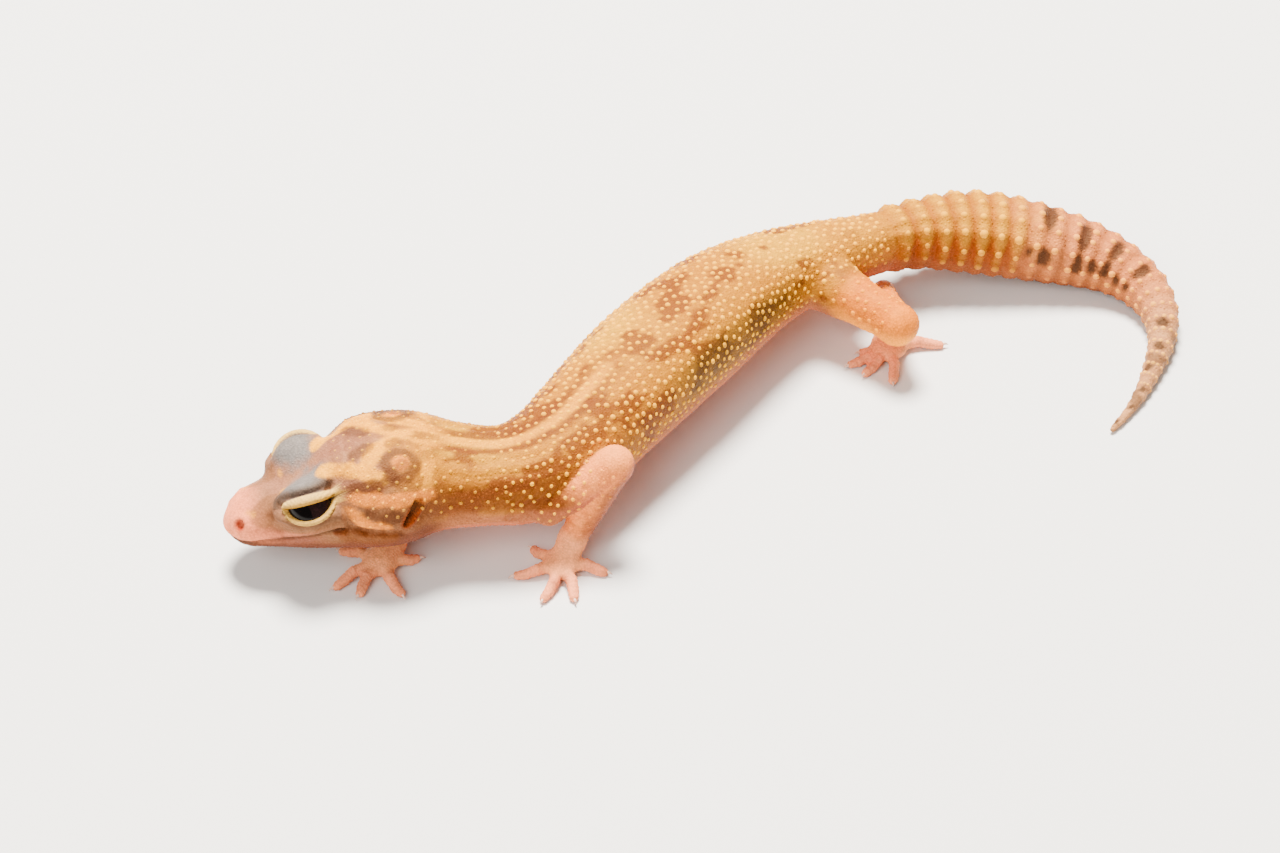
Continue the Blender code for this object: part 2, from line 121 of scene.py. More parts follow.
def to_line(points: Array, start: Array, end: Array) -> tuple[Array, Array]:
    """Finds the nearest place of a straight line.

    Args:
        points: Rows of coordinates.
        start: The line's first end.
        end: Its other end.

    Returns:
        Each point's distance from it, and that place's share of the line.
    """
    line = end - start
    share = np.clip((points - start) @ line / (line @ line), 0.0, 1.0)
    return np.linalg.norm(points - start - share[:, None] * line, axis=1), share


def cell_value(cells: Array, seed: int) -> Array:
    """A fixed pseudo-random number for each whole-number cell.

    Args:
        cells: Rows of three whole numbers.
        seed: Picks one of many patterns.

    Returns:
        Numbers from 0 to 1, one for each row.
    """
    x, y, z = np.moveaxis(cells.astype(np.int64), -1, 0)
    mixed = x * 73856093 ^ y * 19349663 ^ z * 83492791 ^ seed * 2654435761
    mixed = (mixed ^ (mixed >> 13)) * 1274126177 & 0xFFFFFFFF
    mixed = (mixed ^ (mixed >> 16)) * 668265263 & 0xFFFFFFFF
    return ((mixed ^ (mixed >> 15)) & 0xFFFFFF) / float(0xFFFFFF)


def noise(points: Array, size: float, seed: int, octaves: int = 2) -> Array:
    """Smooth noise about 0.

    Args:
        points: Rows of three coordinates.
        size: Width of the largest blotches.
        seed: Picks one of many patterns.
        octaves: How many ever finer layers are added.

    Returns:
        Numbers from about -1 to 1.
    """
    total = np.zeros(len(points))
    weight = 1.0
    for octave in range(octaves):
        scaled = points / size * 2.0**octave
        corner = np.floor(scaled)
        share = smooth_step(scaled - corner)
        layer = np.zeros(len(points))
        for offset in np.ndindex(2, 2, 2):
            part = np.where(np.array(offset) == 1, share, 1 - share).prod(axis=1)
            layer += part * cell_value(corner + np.array(offset), seed + octave)
        total += weight * (2 * layer - 1)
        weight *= 0.5
    return total * 1.3 / (2 - 2 * weight)


# ---- backbone ----
@dataclass
class Backbone:
    """The curved axis of the body with its cross-sections, from snout to tail tip."""

    length: float = 168.0
    head_heading: float = 32.0
    bends: tuple = (
        (20.0, 29.0, 13.0), (30.0, 46.0, -58.0), (50.0, 72.0, 5.0), (70.0, 95.0, 22.5),
        (97.0, 127.0, 38.0), (126.0, 155.0, 104.0), (155.0, 168.0, 16.0),
    )
    snout: tuple = (-17.3, -52.9)
    # distance, half width, rise, depth, height of the axis
    stations: tuple = (
        (0.0, 3.5, 2.8, 2.1, 6.0), (4.0, 4.6, 3.9, 2.4, 6.4), (10.5, 6.9, 6.2, 3.1, 7.1),
        (14.5, 8.3, 7.9, 3.8, 7.9), (19.0, 9.4, 8.2, 4.8, 8.7), (22.5, 9.0, 7.7, 5.4, 9.2),
        (28.0, 7.1, 6.2, 5.3, 9.2), (33.0, 6.6, 5.6, 5.2, 9.2), (40.0, 7.2, 6.1, 6.0, 9.5),
        (48.0, 7.6, 6.6, 6.2, 9.6), (62.0, 8.3, 7.1, 6.7, 9.8), (76.0, 7.8, 6.6, 6.4, 9.8),
        (86.0, 6.2, 5.6, 5.9, 9.5), (94.0, 4.9, 4.6, 5.3, 9.2), (101.0, 4.0, 4.1, 4.6, 8.7),
        (105.0, 4.2, 4.4, 4.4, 8.2), (116.0, 5.7, 5.6, 4.8, 6.7), (128.0, 5.0, 4.9, 4.4, 4.9),
        (139.0, 3.4, 3.2, 3.1, 3.1), (149.0, 2.05, 1.9, 1.9, 1.84), (160.0, 1.1, 1.0, 1.0, 0.95),
        (168.0, 0.6, 0.58, 0.58, 0.54),
    )
    nose_round: float = 3.5
    tip_round: float = 1.0
    boxiness: float = 2.35
    step: float = 0.1
    ends: float = 4.0

    def __post_init__(self) -> None:
        """Walks along the bends once and keeps the track."""
        self.table = np.array(self.stations)
        self.slopes = np.gradient(self.table[:, 1:], self.table[:, 0], axis=0)
        self.track_s = np.arange(-self.ends, self.length + self.ends, self.step)
        headings = self.heading(self.track_s)
        track = np.stack((np.cumsum(np.sin(headings)), np.cumsum(np.cos(headings))), axis=1) * self.step
        start = np.array([np.interp(0.0, self.track_s, column) for column in track.T])
        self.track = track - start + np.array(self.snout)

    def heading(self, along: Array) -> Array:
        """Headings in radians from +Y towards +X."""
        bent = (turn * ramp(along, start, end) for start, end, turn in self.bends)
        return np.radians(sum(bent, self.head_heading))

    def values(self, along: Array) -> Array:
        """Reads the stations, with smooth curves between them.

        Args:
            along: Distances from the snout.

        Returns:
            Four columns: half width, rise, depth and axis height.
        """
        knots = self.table[:, 0]
        index = np.clip(np.searchsorted(knots, along) - 1, 0, len(knots) - 2)
        span = (knots[index + 1] - knots[index])[:, None]
        t = (along[:, None] - knots[index][:, None]) / span
        return (
            (1 + 2 * t) * (1 - t) ** 2 * self.table[index, 1:]
            + t * (1 - t) ** 2 * span * self.slopes[index]
            + t * t * (3 - 2 * t) * self.table[index + 1, 1:]
            + t * t * (t - 1) * span * self.slopes[index + 1]
        )

    def axis(self, along: Array) -> Array:
        """Points of the axis."""
        plan = [np.interp(along, self.track_s, column) for column in self.track.T]
        return np.stack((*plan, self.values(along)[:, 3]), axis=1)

    def frames(self, along: Array) -> tuple[Array, Array, Array, Array]:
        """Local frames of the body.

        Args:
            along: Distances from the snout.

        Returns:
            Centre, the direction towards the tail, the animal's left, and up.
        """
        heading = self.heading(along)
        back = unit(self.axis(along + 0.5) - self.axis(along - 0.5))
        left = np.stack((np.cos(heading), -np.sin(heading), 0 * heading), axis=1)
        return self.axis(along), back, left, np.cross(left, back)

    def frame_at(self, along: float) -> tuple[Array, ...]:
        """Centre, direction towards the tail, left and up at one distance."""
        return tuple(item[0] for item in self.frames(np.array((along,))))

    def locate(self, points: Array, hint: Array | None = None) -> tuple[Array, Array, Array]:
        """Finds each point's place in the body's frame.

        Args:
            points: Rows of x, y and z.
            hint: Distances close to the answer, if they are known.

        Returns:
            Distance from the snout, distance to the left, and distance up.
        """
        along = self.nearest(points) if hint is None else hint.copy()
        for _ in range(3):
            centre, back, _, _ = self.frames(along)
            ahead = 0.9 * np.einsum("ij,ij->i", points - centre, back)
            along = np.clip(along + ahead, -2.0, self.length + 2.0)
        centre, _, left, up = self.frames(along)
        return along, *(np.einsum("ij,ij->i", points - centre, side) for side in (left, up))

    def nearest(self, points: Array) -> Array:
        """Nearest place on the axis as seen from above.

        Args:
            points: Rows of x, y and z.

        Returns:
            Distances from the snout.
        """
        coarse, batch = slice(0, None, 8), 8000
        found = np.empty(len(points))
        for start in range(0, len(points), batch):
            part = points[start:start + batch, None, :2] - self.track[coarse][None]
            found[start:start + batch] = self.track_s[coarse][(part**2).sum(axis=2).argmin(axis=1)]
        return np.clip(found, 0.0, self.length)

    def rounding(self, along: Array) -> Array:
        """Factors that shrink the section to almost nothing at both ends, like quarter circles.

        Args:
            along: Distances from the snout.

        Returns:
            Factors up to 1.
        """
        nose = np.clip(along / self.nose_round, 0.0, 1.0)
        tip = np.clip((self.length - along) / self.tip_round, 0.0, 1.0)
        return np.maximum(0.06, np.sqrt(1 - (1 - nose) ** 2)) * np.maximum(0.12, np.sqrt(1 - (1 - tip) ** 2))

    def distance(self, along: Array, side: Array, rise: Array, inset: float) -> Array:
        """Distance to the plain body.

        Args:
            along: Distances from the snout.
            side: Distances to the left of the axis.
            rise: Distances above the axis.
            inset: How far inside the outline the surface lies.

        Returns:
            Positive outside, negative inside.
        """
        values = self.values(np.clip(along, 0.0, self.length))
        rounding = self.rounding(along)
        wide = np.maximum(values[:, 0] * rounding - inset, 0.05)
        tall = np.maximum(np.where(rise >= 0, values[:, 1], values[:, 2]) * rounding - inset, 0.05)
        reach = (np.abs(side / wide) ** self.boxiness + np.abs(rise / tall) ** self.boxiness)
        reach = np.maximum(reach ** (1 / self.boxiness), 1e-3)
        beyond = np.maximum(-along, 0.0) + np.maximum(along - self.length, 0.0)
        return np.maximum(np.hypot(side, rise), 0.05) * (1 - 1 / reach) + beyond

    def surface(self, along: float, angle: float) -> Array:
        """A place on the plain body.

        Args:
            along: Distance from the snout.
            angle: Degrees round the body, 0 on the left and 90 on the back.

        Returns:
            Its x, y and z.
        """
        centre, _, left, up = self.frame_at(along)
        wide, rise, depth, _ = self.values(np.array((along,)))[0]
        aim = np.array((np.cos(np.radians(angle)), np.sin(np.radians(angle))))
        reach = 1 / (np.abs(aim) ** self.boxiness).sum() ** (1 / self.boxiness)
        tall = rise if aim[1] >= 0 else depth
        return centre + left * aim[0] * reach * wide + up * aim[1] * reach * tall

    def ring(self, along: float, count: int, inset: float) -> Array:
        """One ring of points round the plain body.

        Args:
            along: Distance from the snout.
            count: How many points.
            inset: How far inside the outline they lie.

        Returns:
            Rows of x, y and z.
        """
        centre, _, left, up = self.frame_at(along)
        wide, rise, depth, _ = self.values(np.array((along,)))[0]
        rounding = self.rounding(np.array((along,)))[0]
        level, climb = np.cos(turns(count)), np.sin(turns(count))
        power = 2 / self.boxiness
        side = np.abs(level) ** power * np.sign(level) * (wide * rounding - inset)
        tall = np.where(climb >= 0, rise, depth) * rounding - inset
        high = np.abs(climb) ** power * np.sign(climb) * tall
        return centre + left * side[:, None] + up * high[:, None]


# ---- limbs ----
@dataclass
class LimbSizes:
    """Thicknesses that both limbs of a pair share."""

    radii: tuple[float, float, float, float, float]
    palm: tuple[float, float, float]


FORE = LimbSizes(radii=(2.3, 2.25, 2.35, 2.2, 1.75), palm=(2.5, 2.3, 1.25))
HIND = LimbSizes(radii=(4.0, 3.2, 2.75, 1.95, 1.55), palm=(2.9, 2.5, 1.3))
TOE_RADII = (0.86, 0.76, 0.72, 0.62)
TOE_ARCH = 0.55
TOE_HOOK = 0.35
SOLE_SINK = 0.14
FOOT_REACH = 8.5


@dataclass
class Limb:
    """One leg with its foot: capsules along its bones, a flattened palm and five toes."""

    name: str
    sizes: LimbSizes
    root: tuple[float, float, float]
    bend: tuple[float, float, float]
    ankle: tuple[float, float, float]
    palm: tuple[float, float]
    aim: float
    side: int
    toes: tuple
    inset: float = 0.2
    foot_inset: float = 0.06

    def __post_init__(self) -> None:
        """Works out the joints and the toes."""
        self.palm_centre = np.array((*self.palm, self.sizes.palm[2] - SOLE_SINK))
        self.joints = [np.array(self.root), np.array(self.bend), np.array(self.ankle), self.palm_centre]
        self.bones = sum(np.linalg.norm(b - a) for a, b in zip(self.joints[:2], self.joints[1:3]))
        self.toe_lines = [self.toe_points(spread, length) for spread, length in self.toes]

    def toe_points(self, spread: float, length: float) -> Array:
        """Root, middle joint, last joint and tip of one toe.

        Args:
            spread: Turn from the foot's axis, outwards positive.
            length: From the palm's centre to the tip.

        Returns:
            Four rows.
        """
        ahead = compass(self.aim + spread * self.side)
        across = np.array((-ahead[1], ahead[0], 0.0)) * self.side
        tip_height = TOE_RADII[3] - SOLE_SINK
        heights = (self.palm_centre[2] * 0.9, tip_height + TOE_ARCH, tip_height + 0.12, tip_height)
        hooks = (0.0, TOE_HOOK, TOE_HOOK * 0.6, 0.0)
        points = np.array([self.palm_centre + ahead * length * reach + across * hook
                           for reach, hook in zip((0.22, 0.58, 0.82, 1.0), hooks)])
        points[:, 2] = heights
        return points

    def capsules(self) -> list[tuple[Array, Array, tuple[float, float, float], float]]:
        """The limb's rounded lengths.

        Returns:
            Start, end, radii at start, middle and end, and the inset of each length.
        """
        root, bend, ankle, palm = self.joints
        radii = self.sizes.radii
        heel = (radii[4], radii[4] * 0.95, self.sizes.palm[2] * 0.95)
        return [(root, bend, radii[:3], self.inset), (bend, ankle, radii[2:], self.inset),
                (ankle, palm, heel, self.foot_inset)]

    def toe_capsules(self, line: Array) -> list[tuple[Array, Array, tuple[float, float, float]]]:
        """Start, end and radii of the three lengths of one toe."""
        radii = [(near, (near + far) / 2, far) for near, far in zip(TOE_RADII, TOE_RADII[1:])]
        return list(zip(line, line[1:], radii))

    def capsule_distance(self, points: Array, start: Array, end: Array, radii: tuple, inset: float) -> Array:
        """Distance to one tapered length.

        Args:
            points: Rows of x, y and z.
            start: Its first end.
            end: Its other end.
            radii: Radii at the start, the middle and the end.
            inset: How far inside the surface lies.

        Returns:
            Positive outside, negative inside.
        """
        away, share = to_line(points, start, end)
        bulge = 4 * share * (1 - share) * (radii[1] - (radii[0] + radii[2]) / 2)
        return away - (radii[0] * (1 - share) + radii[2] * share + bulge) + inset

    def foot_distance(self, points: Array) -> Array:
        """Distance to the palm and toes.

        Args:
            points: Rows of x, y and z.

        Returns:
            Positive outside, negative inside.
        """
        ahead = compass(self.aim)
        offset = points - self.palm_centre
        across = np.array((-ahead[1], ahead[0], 0.0))
        local = np.stack((offset @ ahead, offset @ across, offset[:, 2]), axis=1)
        total = ellipsoid_distance(local, np.array(self.sizes.palm) - self.foot_inset)
        for line in self.toe_lines:
            toe = np.full(len(points), FAR)
            for start, end, radii in self.toe_capsules(line):
                part = self.capsule_distance(points, start, end, radii, self.foot_inset)
                toe = smooth_union(toe, part, 0.12)
            total = smooth_union(total, toe, 0.45)
        return total

    def distance(self, points: Array) -> Array:
        """Distance to the whole limb.

        Args:
            points: Rows of x, y and z.

        Returns:
            Positive outside, negative inside.
        """
        upper, lower, heel = (self.capsule_distance(points, *capsule) for capsule in self.capsules())
        foot = smooth_union(heel, self.foot_distance(points), 0.8)
        return smooth_union(smooth_union(upper, lower, 0.9), foot, 0.7)

    def box(self, points: Array, margin: float) -> Array:
        """Which points lie within a margin of the box round the joints."""
        low, high = np.min(self.joints, axis=0) - margin, np.max(self.joints, axis=0) + margin
        return np.all((points > low) & (points < high), axis=1)

    def floor_reach(self, points: Array) -> Array:
        """Distance from the palm's middle as seen from above."""
        return np.linalg.norm((points - self.palm_centre)[:, :2], axis=1)

    def reach(self, points: Array) -> tuple[Array, Array]:
        """Place of points along and around the limb.

        Args:
            points: Rows of x, y and z.

        Returns:
            Distance from the root along the bones, and angle round them, 0 on the upper outer side.
        """
        best, along, angle = np.full(len(points), 1e9), np.zeros(len(points)), np.zeros(len(points))
        travelled = 0.0
        for start, end in zip(self.joints, self.joints[1:]):
            line = end - start
            length = np.linalg.norm(line)
            share = np.clip((points - start) @ line / length**2, 0.0, 1.0)
            offset = points - start - share[:, None] * line
            away = np.linalg.norm(offset, axis=1)
            across = unit(np.cross(line, UP))
            over = unit(np.cross(across, line))
            closer = away < best
            best = np.where(closer, away, best)
            along = np.where(closer, travelled + share * length, along)
            angle = np.where(closer, np.arctan2(offset @ across, offset @ over), angle)
            travelled += length
        return along, angle


LIMBS = (
    Limb("fore_left", FORE, (9.3, -24.3, 7.9), (12.7, -16.4, 12.4), (11.3, -22.4, 2.9), (11.9, -24.7),
         26.0, 1, ((-109, 4.3), (-52, 5.6), (0, 5.9), (36, 5.7), (97, 5.2))),
    Limb("fore_right", FORE, (-1.8, -23.6, 7.6), (-10.6, -26.9, 4.6), (-4.4, -37.6, 1.8), (-3.5, -40.2),
         22.0, -1, ((-126, 4.3), (-52, 5.7), (0, 5.5), (29, 6.4), (90, 5.2))),
    Limb("hind_left", HIND, (4.2, 30.4, 8.4), (15.2, 31.2, 7.9), (5.3, 39.6, 2.6), (12.0, 33.6),
         39.0, 1, ((-70, 3.6), (-51, 6.1), (-27, 5.8), (8, 6.4), (103, 6.7))),
    Limb("hind_right", HIND, (-1.0, 33.6, 8.4), (-10.4, 29.0, 4.8), (-5.2, 41.0, 2.7), (-9.6, 34.6),
         -36.0, -1, ((-70, 3.6), (-51, 6.1), (-27, 6.1), (8, 6.4), (98, 6.7))),
)


# ---- eyes' places ----
@dataclass
class EyeSocket:
    """Where an eye sits and how its lids part; X of its frame runs back, Y up, Z out of the eye."""

    side: int
    backbone: Backbone
    at: float = 11.0
    out: float = 4.2
    rise: float = 3.4
    radius: float = 3.1
    lid_wall: float = 0.8
    lid_line: float = 0.45
    gaze_up: float = 33.0
    gaze_forward: float = 4.0
    front: float = -2.85
    rear: float = 3.14
    corner_rise: float = 0.94
    slant: float = -0.01
    upper: float = 0.12
    lower: float = 1.82
    lower_flatness: float = 0.12
    upper_rim: float = 1.1
    lower_rim: float = 0.6
    corner_rim: float = 0.5

    def __post_init__(self) -> None:
        """Works out the frame and the lids' rounded size."""
        centre, back, left, up = self.backbone.frame_at(self.at)
        self.centre = centre + left * self.out * self.side + up * self.rise
        ahead, over = np.radians(self.gaze_forward), np.radians(self.gaze_up)
        level = -back * np.sin(ahead) + left * self.side * np.cos(ahead)
        aim = level * np.cos(over) + up * np.sin(over)
        x_axis = unit(back - aim * (back @ aim))
        y_axis = np.cross(aim, x_axis) * self.side
        self.axes = np.stack((x_axis, -y_axis if y_axis[2] < 0 else y_axis, aim))
        lid = self.radius + self.lid_wall
        self.lid_size = np.array((lid * 1.27, lid * 0.99, lid * 1.02))

    def local(self, points: Array) -> Array:
        """Points as distances backwards, up and out from the eye's centre."""
        offset = points - self.centre
        return np.stack([offset @ axis for axis in self.axes], axis=1)

    def world(self, local: Array) -> Array:
        """Turns points of the eye's frame back."""
        return self.centre + local @ self.axes

    def lid_distance(self, points: Array, inset: float) -> Array:
        """Distance to the rounded form over the eyeball.

        Args:
            points: Rows of x, y and z.
            inset: How far inside the surface lies.

        Returns:
            Positive outside, negative inside.
        """
        local = self.local(points)
        flat = 1 - self.lower_flatness * ramp(-local[:, 1], 0.0, 1.6)[:, None]
        return ellipsoid_distance(local, self.lid_size * flat - inset)

    def opening(self, ahead: Array) -> tuple[Array, Array, Array]:
        """Measures directions from the eye's centre against the gap between the lids.

        Args:
            ahead: Unit vectors of the eye's frame.

        Returns:
            How far each lies outside the gap, whether the upper lid is the nearer, and the width of
            that lid's scaly rim, which tapers to the corners on the upper one.
        """
        reach = self.radius + self.lid_line
        x, y, _ = (ahead * reach).T
        share = (x - self.front) / ((self.rear - self.front) / 2) - 1
        round_off = np.sqrt(np.maximum(1 - share**2, 0.0))
        line = self.corner_rise + self.slant * x
        place = np.arcsin(np.clip(x / reach, -1, 1)) * reach
        ends = [np.arcsin(end / reach) * reach for end in (self.front, self.rear)]
        past = np.maximum(np.maximum(ends[0] - place, place - ends[1]), 0.0)
        above, below = (np.hypot(np.maximum(away, 0.0), past) + np.minimum(away, 0.0)
                        for away in (y - (line + self.upper * round_off**0.7),
                                     line - self.lower * round_off**1.1 - y))
        arch = np.maximum(1 - (share / 1.04) ** 2, 0.0) ** 0.6
        upper = above >= below
        upper_width = self.corner_rim + (self.upper_rim - self.corner_rim) * arch
        return np.maximum(above, below), upper, np.where(upper, upper_width, self.lower_rim)


# ---- the whole form ----
@dataclass
class Form:
    """The animal's smooth outer form as one distance field."""

    backbone: Backbone
    sockets: tuple[EyeSocket, EyeSocket]
    limbs: tuple[Limb, ...] = LIMBS
    inset: float = 0.25
    head_end: float = 24.0
    lid_blend: float = 1.3
    shoulder_blend: float = 0.8
    foot_blend: float = 0.02
    limb_margin: float = 9.0
    probe: float = 0.02

    def distance(self, points: Array, hint: Array) -> tuple[Array, Array]:
        """Distance to the animal.

        Args:
            points: Rows of x, y and z.
            hint: Distances from the snout close to the right ones.

        Returns:
            Distance, positive outside, and the distances from the snout.
        """
        along, side, rise = self.backbone.locate(points, hint)
        total = self.backbone.distance(along, side, rise, self.inset)
        head = along < self.head_end
        for socket in self.sockets:
            lid = socket.lid_distance(points[head], self.inset)
            total[head] = smooth_union(total[head], lid, self.lid_blend)
        for limb in self.limbs:
            near = limb.box(points, self.limb_margin)
            if near.any():
                from_root = np.linalg.norm(points[near] - limb.joints[0], axis=1)
                blend = self.foot_blend + self.shoulder_blend * ramp(from_root, 11.0, 5.0)
                total[near] = smooth_union(total[near], limb.distance(points[near]), blend)
        return total, along

    def settle(self, points: Array, hint: Array, rounds: int) -> tuple[Array, Array]:
        """Moves points onto the form along its slope.

        Args:
            points: Rows of x, y and z.
            hint: Distances from the snout close to the right ones.
            rounds: How many times the step is repeated.

        Returns:
            The moved points and their distances from the snout.
        """
        along = hint
        for _ in range(rounds):
            here, along = self.distance(points, along)
            slope = np.empty_like(points)
            for axis in range(3):
                shifted = points.copy()
                shifted[:, axis] += self.probe
                slope[:, axis] = (self.distance(shifted, along)[0] - here) / self.probe
            steep = np.maximum((slope**2).sum(axis=1), 0.2)
            points = points - slope * np.clip(here / steep, -0.5, 0.5)[:, None]
        return points, along


# ---- meshes ----
def read(items: bpy.types.bpy_prop_collection, name: str, width: int) -> Array:
    """Reads one property of every item of a mesh.

    Args:
        items: Its vertices, corners, faces or another collection.
        name: The property; indices and counts are whole numbers.
        width: How many numbers it has.

    Returns:
        Rows of numbers, or one column for a width of 1.
    """
    whole = name in ("vertex_index", "vertices", "loop_total")
    flat = np.empty(len(items) * width, np.int32 if whole else np.float32)
    items.foreach_get(name, flat)
    rows = flat.reshape(-1, width).astype(np.int64 if whole else float)
    return rows if width > 1 else rows[:, 0]


def read_points(mesh: Mesh) -> Array:
    """Vertex places of a mesh."""
    return read(mesh.vertices, "co", 3)


def write_points(mesh: Mesh, points: Array) -> None:
    """Moves all vertices of a mesh."""
    mesh.vertices.foreach_set("co", points.astype(np.float32).ravel())
    mesh.update()


@dataclass
class Placement:
    """Moves meshes from the animal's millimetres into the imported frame's metres."""

    socket: EyeSocket

    def __post_init__(self) -> None:
        """Reads the offset from where the frame has the left eye."""
        low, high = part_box("eye_left")
        self.offset = np.array((low + high) / 2) - self.socket.centre * MM
        self.offset[2] = 0.0

    def points(self, points: Array) -> Array:
        """Points in millimetres moved to metres in the frame."""
        return points * MM + self.offset

    def apply(self, made: Object) -> None:
        """Rewrites a mesh in metres, in its place in the frame."""
        write_points(made.data, self.points(read_points(made.data)))


def relax(mesh: Mesh, share: float) -> None:
    """Evens out vertex spacing without shrinking the form.

    Args:
        mesh: The mesh to change.
        share: How far each vertex goes towards its neighbours' middle.
    """
    points = read_points(mesh)
    first, second = read(mesh.edges, "vertices", 2).T
    middle = np.zeros_like(points)
    for axis in range(3):
        middle[:, axis] = (np.bincount(first, points[second, axis], len(points))
                           + np.bincount(second, points[first, axis], len(points)))
    count = np.bincount(np.concatenate((first, second)), minlength=len(points))[:, None]
    pull = middle / np.maximum(count, 1) - points
    normals = read(mesh.vertex_normals, "vector", 3)
    pull -= normals * np.einsum("ij,ij->i", pull, normals)[:, None]
    write_points(mesh, points + share * pull)


def new_object(name: str, mesh: Mesh) -> Object:
    """Puts a mesh into the scene.

    Args:
        name: The object's name.
        mesh: Its mesh.

    Returns:
        The new object, at the origin.
    """
    mesh.name = name
    made = bpy.data.objects.new(name, mesh)
    bpy.context.scene.collection.objects.link(made)
    return made


def finished(build: bmesh.types.BMesh, name: str, outwards: bool = False) -> Mesh:
    """Ends the building of a mesh.

    Args:
        build: The mesh being built.
        name: The new mesh's name.
        outwards: Whether faces still have to be turned outwards.

    Returns:
        A new mesh.
    """
    if outwards:
        bmesh.ops.recalc_face_normals(build, faces=build.faces)
    mesh = bpy.data.meshes.new(name)
    build.to_mesh(mesh)
    build.free()
    return mesh


def bake_modifiers(made: Object) -> None:
    """Turns an object's live modifiers into plain mesh.

    Args:
        made: The object; its modifiers are removed.
    """
    evaluated = made.evaluated_get(bpy.context.evaluated_depsgraph_get())
    mesh = bpy.data.meshes.new_from_object(evaluated)
    made.modifiers.clear()
    old = made.data
    made.data = mesh
    mesh.name = made.name
    bpy.data.meshes.remove(old)


def add_walls(build: bmesh.types.BMesh, rings: list[Array]) -> list[list[bmesh.types.BMVert]]:
    """Adds an open surface through rings of equal count.

    Args:
        build: The mesh being built.
        rings: Rows of points, one array for each ring.

    Returns:
        The vertices of each ring.
    """
    rows = [[build.verts.new(point) for point in ring] for ring in rings]
    for near, far in zip(rows, rows[1:]):
        for step in range(len(near)):
            after = (step + 1) % len(near)
            build.faces.new((near[step], near[after], far[after], far[step]))
    return rows


def add_loft(build: bmesh.types.BMesh, rings: list[Array]) -> None:
    """Adds a closed surface through rings of equal count.

    Args:
        build: The mesh being built.
        rings: Rows of points, one array for each ring.
    """
    rows = add_walls(build, rings)
    build.faces.new(rows[0][::-1])
    build.faces.new(rows[-1])


def ball_rings(centre: Array, axes: Array, count: int = 16) -> list[Array]:
    """Rings of an ellipsoid, from pole to pole, about three half axes."""
    return [centre + circle(count, *axes[:2]) * np.sin(tilt) - axes[2] * np.cos(tilt)
            for tilt in np.radians((12, 35, 58, 80, 100, 122, 145, 168))]


def add_capsule(build: bmesh.types.BMesh, start: Array, end: Array, radii: tuple, count: int = 12) -> None:
    """Adds a tapered length with round ends.

    Args:
        build: The mesh being built.
        start: Its first end.
        end: Its other end.
        radii: Radii at start, middle and end.
        count: Points in each ring.
    """
    axis = unit(end - start)
    across = unit(np.cross(axis, UP if abs(axis[2]) < 0.8 else np.array((1.0, 0.0, 0.0))))
    ring = circle(count, across, np.cross(axis, across))
    rings = [start - axis * radii[0] * np.sin(tilt) + ring * radii[0] * np.cos(tilt)
             for tilt in np.radians((75, 40))]
    rings += [start + ring * radii[0], (start + end) / 2 + ring * radii[1], end + ring * radii[2]]
    rings += [end + axis * radii[2] * np.sin(tilt) + ring * radii[2] * np.cos(tilt)
              for tilt in np.radians((40, 75))]
    add_loft(build, rings)


# ---- places on the skin ----
class Region(Enum):
    """Names of the skin's parts; the value is stored on each vertex."""

    HEAD = 0
    TRUNK = 1
    TAIL = 2
    LIMB = 3
    FOOT = 4


@dataclass
class Survey:
    """What is known about places on the skin; folds, markings and coat read it."""

    points: Array
    along: Array
    side: Array
    rise: Array
    angle: Array
    limb: Array
    limb_along: Array
    limb_angle: Array
    region: Array

    def down(self) -> Array:
        """Angle from the back's middle line, 0 on top and 180 under the belly."""
        return np.abs((self.angle - 90.0 + 180.0) % 360.0 - 180.0)

    def some(self, chosen: Array) -> "Survey":
        """The part of a survey that is chosen."""
        return Survey(**{name: value[chosen] for name, value in vars(self).items()})


@dataclass
class Surveyor:
    """Finds out where on the animal a place is."""

    form: Form
    head_end: float = 30.0
    tail_start: float = 102.5
    trunk_reach: float = 1.4
    limb_margin: float = 10.0

    def measure(self, points: Array, hint: Array | None = None) -> Survey:
        """Surveys places on the skin.

        Args:
            points: Rows of x, y and z.
            hint: Distances from the snout close to the right ones.

        Returns:
            The survey of these places.
        """
        spine = self.form.backbone
        along, side, rise = spine.locate(points, hint)
        values = spine.values(np.clip(along, 0.0, spine.length))
        tall = np.where(rise >= 0, values[:, 1], values[:, 2])
        angle = np.degrees(np.arctan2(rise / tall, side / values[:, 0]))
        nearest = spine.distance(along, side, rise, self.form.inset) * self.trunk_reach
        limb = np.full(len(points), -1)
        limb_along, limb_angle = np.zeros(len(points)), np.zeros(len(points))
        region = np.where(along < self.head_end, Region.HEAD.value, Region.TRUNK.value)
        region = np.where(along > self.tail_start, Region.TAIL.value, region)
        for index, leg in enumerate(self.form.limbs):
            near = leg.box(points, self.limb_margin)
            away = np.full(len(points), FAR)
            away[near] = leg.distance(points[near])
            mine = away < nearest - 0.02
            nearest = np.where(mine, away, nearest)
            limb[mine] = index
            reach, turn = leg.reach(points)
            limb_along = np.where(mine, reach, limb_along)
            limb_angle = np.where(mine, np.degrees(turn), limb_angle)
            region[mine] = np.where(reach[mine] > leg.bones - 0.3, Region.FOOT.value, Region.LIMB.value)
        return Survey(points, along, side, rise, angle, limb, limb_along, limb_angle, region)


